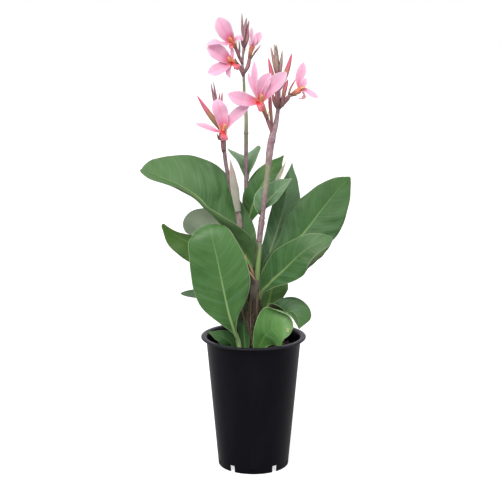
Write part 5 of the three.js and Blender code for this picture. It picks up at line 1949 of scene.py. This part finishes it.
HEADS: dict[str, Head] = {
    "left": Head(
        Tube(((-50, -14, 562), (-50, -15, 580), (-54, -12, 604), (-60, -10, 630)), (3.4, 3.2, 2.6, 2)),
        (Tube(((-51, -15, 561), (-51.5, -19, 570), (-52, -22.5, 580)), (3, 4, 4)),),
        (
            Bud(((-58, -10, 618), (-67, -9, 650), (-72, -10, 676)), 2.6),
            Bud(((-60, -8, 622), (-64, -6, 652), (-68, -6, 678)), 2.3),
            Bud(((-58, -10, 618), (-59, -10, 640), (-57, -10, 660)), 2.3, 0.4),
            Bud(((-57, -9, 616), (-55, -8, 638), (-53, -8, 661)), 2.6, 0.5),
            Bud(((-52, -14, 594), (-66, -10, 612), (-82, -8, 634), (-95, -8, 654)), 4.6, 1.0),
            Bud(((-52, -15, 586), (-58, -14, 582), (-62, -15, 592)), 2.0),
        ),
    ),
    "right": Head(
        Tube(((31, -12, 577), (32.5, -12, 588), (38, -10, 609), (42, -8, 637), (43, -8, 660), (42, -8, 690)),
             (6.2, 5, 3.6, 3.1, 2.5, 2.2)),
        (
            Tube(((32, -12, 592), (29, -13, 600), (26, -16, 608), (23, -19, 616)), (3.4, 3.2, 3.4, 3.2)),
            Tube(((42, -8, 632), (49, -8, 641), (56, -9, 650), (61, -9, 655)), (3, 3, 3.4, 3)),
            Tube(((42, -8, 632), (54, -7, 643), (62, -6, 650)), (2.6, 2, 0.5)),
        ),
        (
            Bud(((40, -7, 684), (34, -8, 710), (29, -8, 735)), 2.7, 0.2),
            Bud(((42, -10, 682), (38, -11, 712), (35, -10, 740)), 3.7),
            Bud(((42, -6, 684), (40, -5, 714), (38, -5, 739)), 3.4),
            Bud(((43, -8, 682), (46, -8, 708), (48, -8, 729)), 3.2),
            Bud(((41, -8, 652), (34, -6, 676), (29, -6, 698), (25, -6, 717)), 4.7, 1.0),
            Bud(((43, -8, 664), (51, -7, 682), (58, -7, 702), (64, -8, 725)), 4.7, 1.0),
            Bud(((43, -8, 634), (50, -7, 652), (53, -6, 667), (58, -7, 682)), 3.8, 0.8, 0.66),
            Bud(((32, -12, 596), (30, -10, 618), (28, -9, 640), (27, -9, 662)), 3.2, 0.7, 0.7),
            Bud(((42, -9, 630), (35, -12, 646), (31, -12, 662)), 3.4, 0.3),
            Bud(((42, -9, 634), (39, -14, 648), (38, -14, 664)), 3.3, 0.3),
            Bud(((43, -9, 634), (48, -12, 644), (48, -13, 658)), 2.9, 0.3),
            Bud(((58, -6, 653), (63, -4, 668), (72, -4, 684)), 1.8, 0.6),
        ),
        TAN_BUD,
    ),
    "rear": Head(
        Tube(((-16, 29, 655), (-17, 29, 686), (-19, 29, 710), (-15, 29, 745)), (2.6, 2.4, 2.2, 2.6),
             ((0.6, 0.5, 0.1, 0, 0), 0.0)),
        (
            Tube(((-17, 29, 686), (-23, 26, 700), (-29, 21, 708)), (2.6, 3.4, 3.2)),
            Tube(((-19, 29, 706), (-25, 27, 720), (-30, 23, 733)), (2.2, 3, 2.8)),
            Tube(((-17, 29, 690), (-10, 28, 702), (-7, 27, 716)), (2.6, 3.6, 3)),
            Tube(((-25, 26, 718), (-24, 26, 734), (-25, 25, 746)), (2, 1.6, 0.5)),
        ),
        (
            Bud(((-16, 29, 738), (-19, 29, 766), (-20, 29, 791)), 2.3),
            Bud(((-16, 27, 738), (-15, 26, 764), (-12, 27, 784)), 3.4),
            Bud(((-15, 30, 738), (-12, 32, 760), (-8, 32, 779)), 3, 0.2),
            Bud(((-15, 26, 734), (-10, 24, 752), (-9, 24, 768)), 2.8, 0.3),
            Bud(((-15, 29, 730), (-19, 27, 744), (-19, 26, 758)), 2.7),
            Bud(((-9, 30, 708), (1, 33, 724), (12, 30, 738)), 1.6, 0.3),
        ),
    ),
}


@dataclass
class FlowerHead:
    """A dressed flower head."""

    name: str
    head: Head
    scale_length: float = 9.0  # of the small bract at the foot of each stalklet and bud
    closed: float = 0.2  # a bud that has coloured no further has the head's own tone

    def _scale(self, path: Points, radius: float, length: float) -> Piece:
        """The small bract that clasps the foot of a stalklet or bud, on its outer side.

        Args:
            path: the stalklet's or bud's middle line.
            radius: at its foot.
            length: the bract's.

        Returns:
            The bract.
        """
        line = Path(path)
        start, way = line.places[0], line.ways[0]
        out = unit(np.array([way[0] * 40, way[1] * 40 - 8.0, 0.0]))
        steps = ((-0.15, 0.7), (0.4, 1.15), (1, 1.35))
        rib = tuple(tuple(start + out * radius * off + way * length * share) for share, off in steps)
        widths = (radius, radius * 1.05, radius * 0.7, 0.3)
        clasp = Blade(rib, (tuple(-out),), widths, fold_left=20, curl_left=70, tip=0.1)
        return blade_skin("scale", clasp, replace(SMOOTH, rows=12, columns=8, thickness=0.35), pale=0.0)

    def build(self) -> Piece:
        """The rachis, stalklets, buds and small bracts as one piece."""
        rachis, parts = self.head.rachis, []
        for stalklet in self.head.stalklets:
            warty = Tube(stalklet.path, stalklet.radii, (0.1, (0, 0, 1, 1)), (3, 0.06))
            parts.append(warty.skin("stalklet", sides=16, steps=22, bumps=0.12))
            parts.append(self._scale(stalklet.path, max(stalklet.radii[0], 2.0), self.scale_length))
        for bud in self.head.buds:
            shape = spindle(bud.path, bud.radius, bud.belly)
            kind = "bud" if bud.pink <= self.closed else "opening_bud"
            ridged = Tube(bud.path, shape.radii, (bud.pink, 0.0), (3, 0.09))
            parts.append(ridged.skin(kind, sides=18, steps=26))
            parts.append(self._scale(bud.path, bud.radius * 0.62, self.scale_length * 0.8))
        for part in parts:
            dress(part, self.head.tone if part.name.startswith("bud") else BUD)
        ribbed = Tube(rachis.path, rachis.radii, rachis.marks, (5, 0.04))
        stem = ribbed.skin("rachis", sides=16, steps=30, bumps=0.1)
        dress(stem, STALK)
        return place(joined([stem, *parts], f"head_{self.name}"), f"head_{self.name}", "flower_head")


# ---------------------------------------------------------------- blooms

FRONT: Points = ((0, -1, 0.25),)
PETAL_WIDTHS = (0.4, 0.8, 1.0, 0.75)
YELLOW = (1.0, 0.0)  # what the throat's finish reads on the style and the stamen


@dataclass(frozen=True)
class Petal:
    """A petal, or the petal-like lip: its rib from the cup's mouth outwards, and its half width."""

    rib: Points
    half: float
    fold: float = 0.0
    curl: float = 0.0
    face: Points = FRONT
    tip: float = 0.3

    def blade(self, start: Point) -> Blade:
        """The petal's blade, which starts in the cup's mouth."""
        widths = tuple(share * self.half for share in PETAL_WIDTHS)
        return Blade(
            (start, *self.rib), self.face, widths, fold_left=self.fold, curl_left=self.curl,
            wave=(min(0.9, self.half * 0.08), 1.5, self.half % 1), tip=self.tip, point=0.62,
        )


@dataclass(frozen=True)
class Flower:
    """A bloom: the cup from its stalklet to its mouth, its petals, its lip and its style."""

    cup: Tube
    petals: tuple[Petal, ...]
    lip: Petal | None = None
    style: Points = ()
    faded: float = 0.0  # how grey the lip has turned


BLOOMS: dict[str, Flower] = {
    "left": Flower(
        Tube(((-52, -23, 581), (-52, -27, 589), (-51, -31, 597)), (4.2, 6.4, 6)),
        (
            Petal(((-54, -35, 624), (-59, -38, 640), (-61, -33, 651)), 13, 6, 16),
            Petal(((-60, -24, 626), (-67, -20, 647)), 8, 4, 10),
            Petal(((-35, -34, 620), (-21, -38, 632), (-8, -36, 640)), 9, 4, 14),
            Petal(((-62, -36, 597), (-80, -38, 604), (-98, -37, 610)), 7.5, 14, 10, ((0.2, -0.55, 0.8),)),
        ),
        Petal(((-51.5, -39, 593), (-52, -41, 587), (-52, -38, 581)), 6.4, -6, -20, ((0, -0.8, 0.6),)),
        ((-50, -37, 603), (-49, -40, 610)),
    ),
    "centre": Flower(
        Tube(((22.5, -19.5, 617.5), (19, -23, 627), (15, -27, 637), (10, -30, 646)), (3, 3.8, 5, 5.6)),
        (
            Petal(((-10, -40, 649), (-28, -47, 654), (-43, -48, 660)), 12.5, 4, 24),
            Petal(((2, -34, 672), (1, -36, 694), (1, -33, 713)), 5.8, 4, 24),
            Petal(((-1, -26, 668), (-7, -24, 684), (-9, -22, 694)), 4.4, 10, 20),
            Petal(((13, -39, 668), (19, -44, 682), (28, -43, 694)), 11, 6, 26),
            Petal(((27, -43, 668), (41, -50, 683), (54, -50, 696)), 12.5, 4, 24),
        ),
        Petal(((7, -42, 642), (10, -45, 636), (14, -43, 631)), 5.4, -8, -24, ((-0.3, -0.8, 0.5),)),
        ((12, -38, 652), (13, -43, 659)),
    ),
    "right": Flower(
        Tube(((62.2, -9.3, 655.8), (66.5, -10, 658), (72, -11, 661), (78, -12, 664)), (2.8, 3.8, 5, 4.8)),
        (
            Petal(((77, -12, 684), (81, -12, 698), (84, -10, 711)), 8, 4, 12),
            Petal(((81, -16, 671), (85, -18, 679), (88, -16, 685)), 6, 4, 10),
            Petal(((88, -15, 664), (98, -18, 658), (109, -18, 652)), 6.2, 6, 10, ((0.1, -0.8, 0.6),)),
        ),
        Petal(((85, -18, 658), (82, -20, 652), (75, -19, 651)), 2.2, 0, -10, ((0.3, -0.8, 0.4),)),
        ((80, -17, 668), (86, -18, 670)),
        0.75,
    ),
    "rear_upper": Flower(
        Tube(((-31, 23, 734), (-33, 20, 738), (-36, 15, 743)), (2.8, 3.6, 4.6)),
        (
            Petal(((-46, 5, 758), (-53, 1, 771), (-60, 2, 784)), 14, 4, 24),
            Petal(((-27, 14, 751), (-21, 16, 751), (-18, 18, 746)), 4.6, 0, -12, ((0.2, -0.8, 0.5),)),
            Petal(((-50, 0, 741), (-64, -10, 744), (-79, -12, 740)), 7, 10, 0, ((0, -0.6, 0.8),)),
        ),
        Petal(((-38, 7, 739), (-39, 4, 735), (-38, 4, 732)), 4.4, -6, -14, ((0, -0.8, 0.5),)),
        ((-39, 6, 747), (-41, 2, 752)),
    ),
    "rear_lower": Flower(
        Tube(((-30, 20, 709), (-33, 15, 711), (-37, 11, 711)), (3, 3.8, 5)),
        (
            Petal(((-52, 0, 721), (-65, -5, 730), (-78, -6, 737)), 13.5, 4, 14),
            Petal(((-52, 0, 703), (-66, -5, 697), (-78, -5, 693)), 10.4, 4, 12),
            Petal(((-43, 4, 696), (-40, 3, 683)), 4.6, tip=0.4),
            Petal(((-36, 9, 721), (-37, 9, 735)), 3.6, 0, 10, tip=0.4),
        ),
        Petal(((-33, 3, 706), (-29, 1, 701), (-27, 4, 697)), 4.2, -4, -14, ((0.2, -0.9, 0.2),)),
        ((-41, 1, 714), (-43, -2, 719)),
    ),
    "rear_opening": Flower(
        Tube(((-7, 27, 717), (-5, 26, 727), (-2, 25, 737)), (3, 3.5, 4.8)),
        (
            Petal(((3, 22, 744), (8, 21, 753), (12, 23, 760)), 6.8, 8, 20),
            Petal(((-3, 30, 750), (-4, 31, 768)), 3, 10, 10),
            Petal(((1, 18, 744), (3, 17, 754)), 4.6, 8, 20),
            Petal(((-5, 19, 738), (-7, 17, 748)), 2.4, tip=0.5),
        ),
    ),
}


@dataclass
class Bloom:
    """A dressed bloom: pink petals on a dusky cup with its sepals, and the coral throat in it."""

    name: str
    flower: Flower
    sepals: int = 3
    sepal_length: float = 11.0

    @property
    def mouth(self) -> Point:
        """The point at which the petals stand."""
        return self.flower.cup.path[-1]

    def _petal(self, petal: Petal, pale: float) -> Piece:
        """One petal with its frilled margin.

        Args:
            petal: its shape.
            pale: how faded it is.

        Returns:
            The petal.
        """
        blade = petal.blade(self.mouth)
        rows = int(np.clip(blade.path.length / 1.3, 20, 44))
        frill = min(0.5, petal.half * 0.05)
        detail = replace(SMOOTH, rows=rows, columns=16, thickness=0.4, frill=frill, frill_step=19.0)
        return blade_skin("petal", blade, detail, pale=pale, finishes=(PETAL,))

    def _sepal(self, index: int) -> Piece:
        """A short pointed sepal at the cup's foot.

        Args:
            index: which of them, for its side.

        Returns:
            The sepal.
        """
        line = Path(self.flower.cup.path)
        first, second = line.frames(np.array([0.0, 1.0]))
        turn = 2 * math.pi * (index + 0.5) / self.sepals
        out = first[0] * math.cos(turn) + second[0] * math.sin(turn)
        start, way, radius = line.places[0], line.ways[0], float(np.atleast_1d(self.flower.cup.radii)[0])
        steps = ((-0.1, 0.9), (0.35, 1.35), (0.7, 1.75), (1.0, 2.0))
        reach = way * self.sepal_length
        rib = tuple(tuple(start + out * radius * off + reach * share) for share, off in steps)
        blade = Blade(rib, (tuple(-out),), (1.8, 2.3, 1.8, 0.4), fold_left=10, curl_left=40, tip=0.12)
        return blade_skin("sepal", blade, replace(SMOOTH, rows=16, columns=8, thickness=0.35), pale=0.0)

    def _petals(self) -> Piece:
        """The cup, its sepals and the petals."""
        ridged = Tube(self.flower.cup.path, self.flower.cup.radii, (0.9, 0.0), (3, 0.05))
        cup = ridged.skin("cup", sides=18, steps=12)
        dress(cup, CALYX)
        sepals = [self._sepal(index) for index in range(self.sepals)]
        for sepal in sepals:
            dress(sepal, CALYX)
        petals = [self._petal(petal, 0.12 * (index % 3)) for index, petal in enumerate(self.flower.petals)]
        return joined([cup, *sepals, *petals], f"bloom_{self.name}")

    def _throat(self, lip: Petal) -> Piece:
        """The red cup's mouth, the curled lip, the flat style and the stamen beside it.

        Args:
            lip: the curled lip's shape.

        Returns:
            The throat, joined and dressed.
        """
        mouth, below = np.array(self.mouth, float), np.array(self.flower.cup.path[-2], float)
        inside = mouth + (below - mouth) * 0.7
        ahead = mouth + unit(mouth - below) * 3.2
        rim = float(np.atleast_1d(self.flower.cup.radii)[-1])
        filled = Tube((tuple(inside), tuple(mouth), tuple(ahead)), (rim * 0.3, rim * 0.62, rim * 0.5))
        plug = filled.skin("plug", sides=14, steps=10)
        waved = replace(SMOOTH, rows=26, columns=16, thickness=0.45, frill=9.0)
        curled = even(blade_skin("lip", lip.blade(tuple(ahead)), waved, pale=self.flower.faded), 0.0)
        flat = Tube((tuple(inside), *self.flower.style), (1.6, 1.5, 1.1), YELLOW, (2, 0.25))
        style = flat.skin("style", sides=12, steps=16)
        bend, tip = np.array(self.flower.style[-2:], float)
        beside = np.array([2.2, -0.6, 0.4])
        path = (tuple(mouth + beside * 0.4), tuple(bend + beside), tuple(tip + beside * 0.8 - [0, 0, 1.5]))
        stamen = Tube(path, (1.0, 0.8, 0.9, 1.3, 0.9), YELLOW).skin("stamen", sides=10, steps=14)
        piece = joined([plug, curled, style, stamen], f"throat_{self.name}")
        dress(piece, THROAT)
        return piece

    def build(self) -> None:
        """The bloom's pieces, each in its node's stead."""
        place(self._petals(), f"bloom_{self.name}", "petal")
        if self.flower.lip:
            place(self._throat(self.flower.lip), f"throat_{self.name}", "throat")


# ---------------------------------------------------------------- studio


@dataclass
class Studio:
    """A plain pale floor, soft light and the camera."""

    camera_at: Point = (-6.2, -2032.5, 775.3)
    camera_pitch: float = 10.798  # degrees below the horizon
    lens: float = 85.64
    sensor: float = 36.0
    far: float = 200.0  # metres that the camera sees
    floor_size: float = 60.0
    floor_colour: str = "#b4b4b4"
    floor_glow: float = 0.72  # what the eye sees of it besides its shade
    sky_colour: str = "#fbfcff"
    slant: float = 0.22  # how much the surround darkens towards the left, against the front

    def _camera(self) -> None:
        """Makes the camera, which looks along +Y and a little down."""
        camera = bpy.data.objects.new("camera", bpy.data.cameras.new("camera"))
        camera.data.lens = self.lens
        camera.data.sensor_width = self.sensor
        camera.data.clip_end = self.far
        camera.location = [value * MM for value in self.camera_at]
        camera.rotation_euler = (math.radians(90 - self.camera_pitch), 0, 0)
        bpy.context.scene.collection.objects.link(camera)
        bpy.context.scene.camera = camera

    def _floor(self) -> None:
        """Makes the floor, which is not attached to the plant's body."""
        deselect()
        bpy.ops.mesh.primitive_plane_add(size=self.floor_size)
        floor = bpy.context.object
        floor.name = "floor"
        material, tree = new_material("matt_pale_floor")
        seen = add_node(tree, "ShaderNodeLightPath").outputs["Is Camera Ray"]
        glow = add_node(tree, "ShaderNodeMath", {"operation": "MULTIPLY"}, {0: seen, 1: self.floor_glow})
        shader = add_node(
            tree,
            "ShaderNodeBsdfPrincipled",
            inputs={
                "Base Color": linear(self.floor_colour),
                "Roughness": 0.9,
                "Specular IOR Level": 0.0,
                "Emission Color": (1.0, 1.0, 1.0, 1.0),
                "Emission Strength": glow.outputs[0],
            },
        )
        add_node(tree, "ShaderNodeOutputMaterial", inputs={"Surface": shader.outputs[0]})
        floor.data.materials.append(material)

    def _sun(self, name: str, angles: Point, strength: float, softness: float) -> None:
        """Adds a broad, even light.

        Args:
            name: its name.
            angles: its turns in degrees.
            strength: watts per square metre.
            softness: how wide it looks, in degrees.
        """
        light = bpy.data.lights.new(name, "SUN")
        light.energy = strength
        light.angle = math.radians(softness)
        lamp = bpy.data.objects.new(name, light)
        lamp.rotation_euler = [math.radians(angle) for angle in angles]
        bpy.context.scene.collection.objects.link(lamp)

    def _sky(self) -> None:
        """A white surround: plain for the eye, and darker towards the front and left for reflections."""
        world = bpy.data.worlds.new("studio")
        bpy.context.scene.world = world
        world.use_nodes = True
        tree = world.node_tree
        tree.nodes.clear()
        where = add_node(tree, "ShaderNodeTexCoord")
        split = add_node(tree, "ShaderNodeSeparateXYZ", inputs={0: where.outputs["Generated"]})
        mixed = {0: split.outputs[0], 1: self.slant, 2: split.outputs[1]}
        slanted = add_node(tree, "ShaderNodeMath", {"operation": "MULTIPLY_ADD"}, mixed)
        front = add_node(
            tree,
            "ShaderNodeMapRange",
            {"interpolation_type": "SMOOTHSTEP"},
            {"Value": slanted.outputs[0], "From Min": -0.5, "From Max": 0.4, "To Min": 0.24, "To Max": 1.0},
        )
        glowing = {"Color": linear(self.sky_colour), "Strength": front.outputs[0]}
        soft = add_node(tree, "ShaderNodeBackground", inputs=glowing)
        white = {"Color": (1.0, 1.0, 1.0, 1.0), "Strength": 1.0}
        plain = add_node(tree, "ShaderNodeBackground", inputs=white)
        seen = add_node(tree, "ShaderNodeLightPath").outputs["Is Camera Ray"]
        mix = add_node(tree, "ShaderNodeMixShader", inputs={0: seen, 1: soft.outputs[0], 2: plain.outputs[0]})
        add_node(tree, "ShaderNodeOutputWorld", inputs={"Surface": mix.outputs[0]})

    def build(self) -> None:
        """Sets the studio up."""
        self._camera()
        self._floor()
        self._sky()
        self._sun("key", (40, -24, 0), 3.1, 38)
        self._sun("fill", (48, 38, 10), 0.6, 70)
        bpy.context.scene.view_settings.view_transform = "Standard"


# ---------------------------------------------------------------- the whole


def main() -> None:
    """Builds the studio and the plant, and reports each piece."""
    logging.basicConfig(level=logging.INFO, format="%(message)s")
    Studio().build()
    pot = NurseryPot()
    pot.build()
    PottingMix(pot).build()
    Shoot("stalk_front", ("main", "left", "right"), JOINTS, TORN).build()
    Shoot("stalk_rear", ("rear",), (REAR_JOINT,)).build()
    OldSheath().build()
    for node, blade in LEAVES.items():
        Leaf(node, blade, FINISHES[node].value).build()
    Leaf("bract_left", BRACTS["bract_left"], BRACT, "bract").build()
    Leaf("young_leaf", BRACTS["young_leaf"], YOUNG, "bract").build()
    LeafBases().build()
    for name, head in HEADS.items():
        FlowerHead(name, head).build()
    for name, flower in BLOOMS.items():
        Bloom(name, flower).build()


if __name__ == "__main__":
    main()
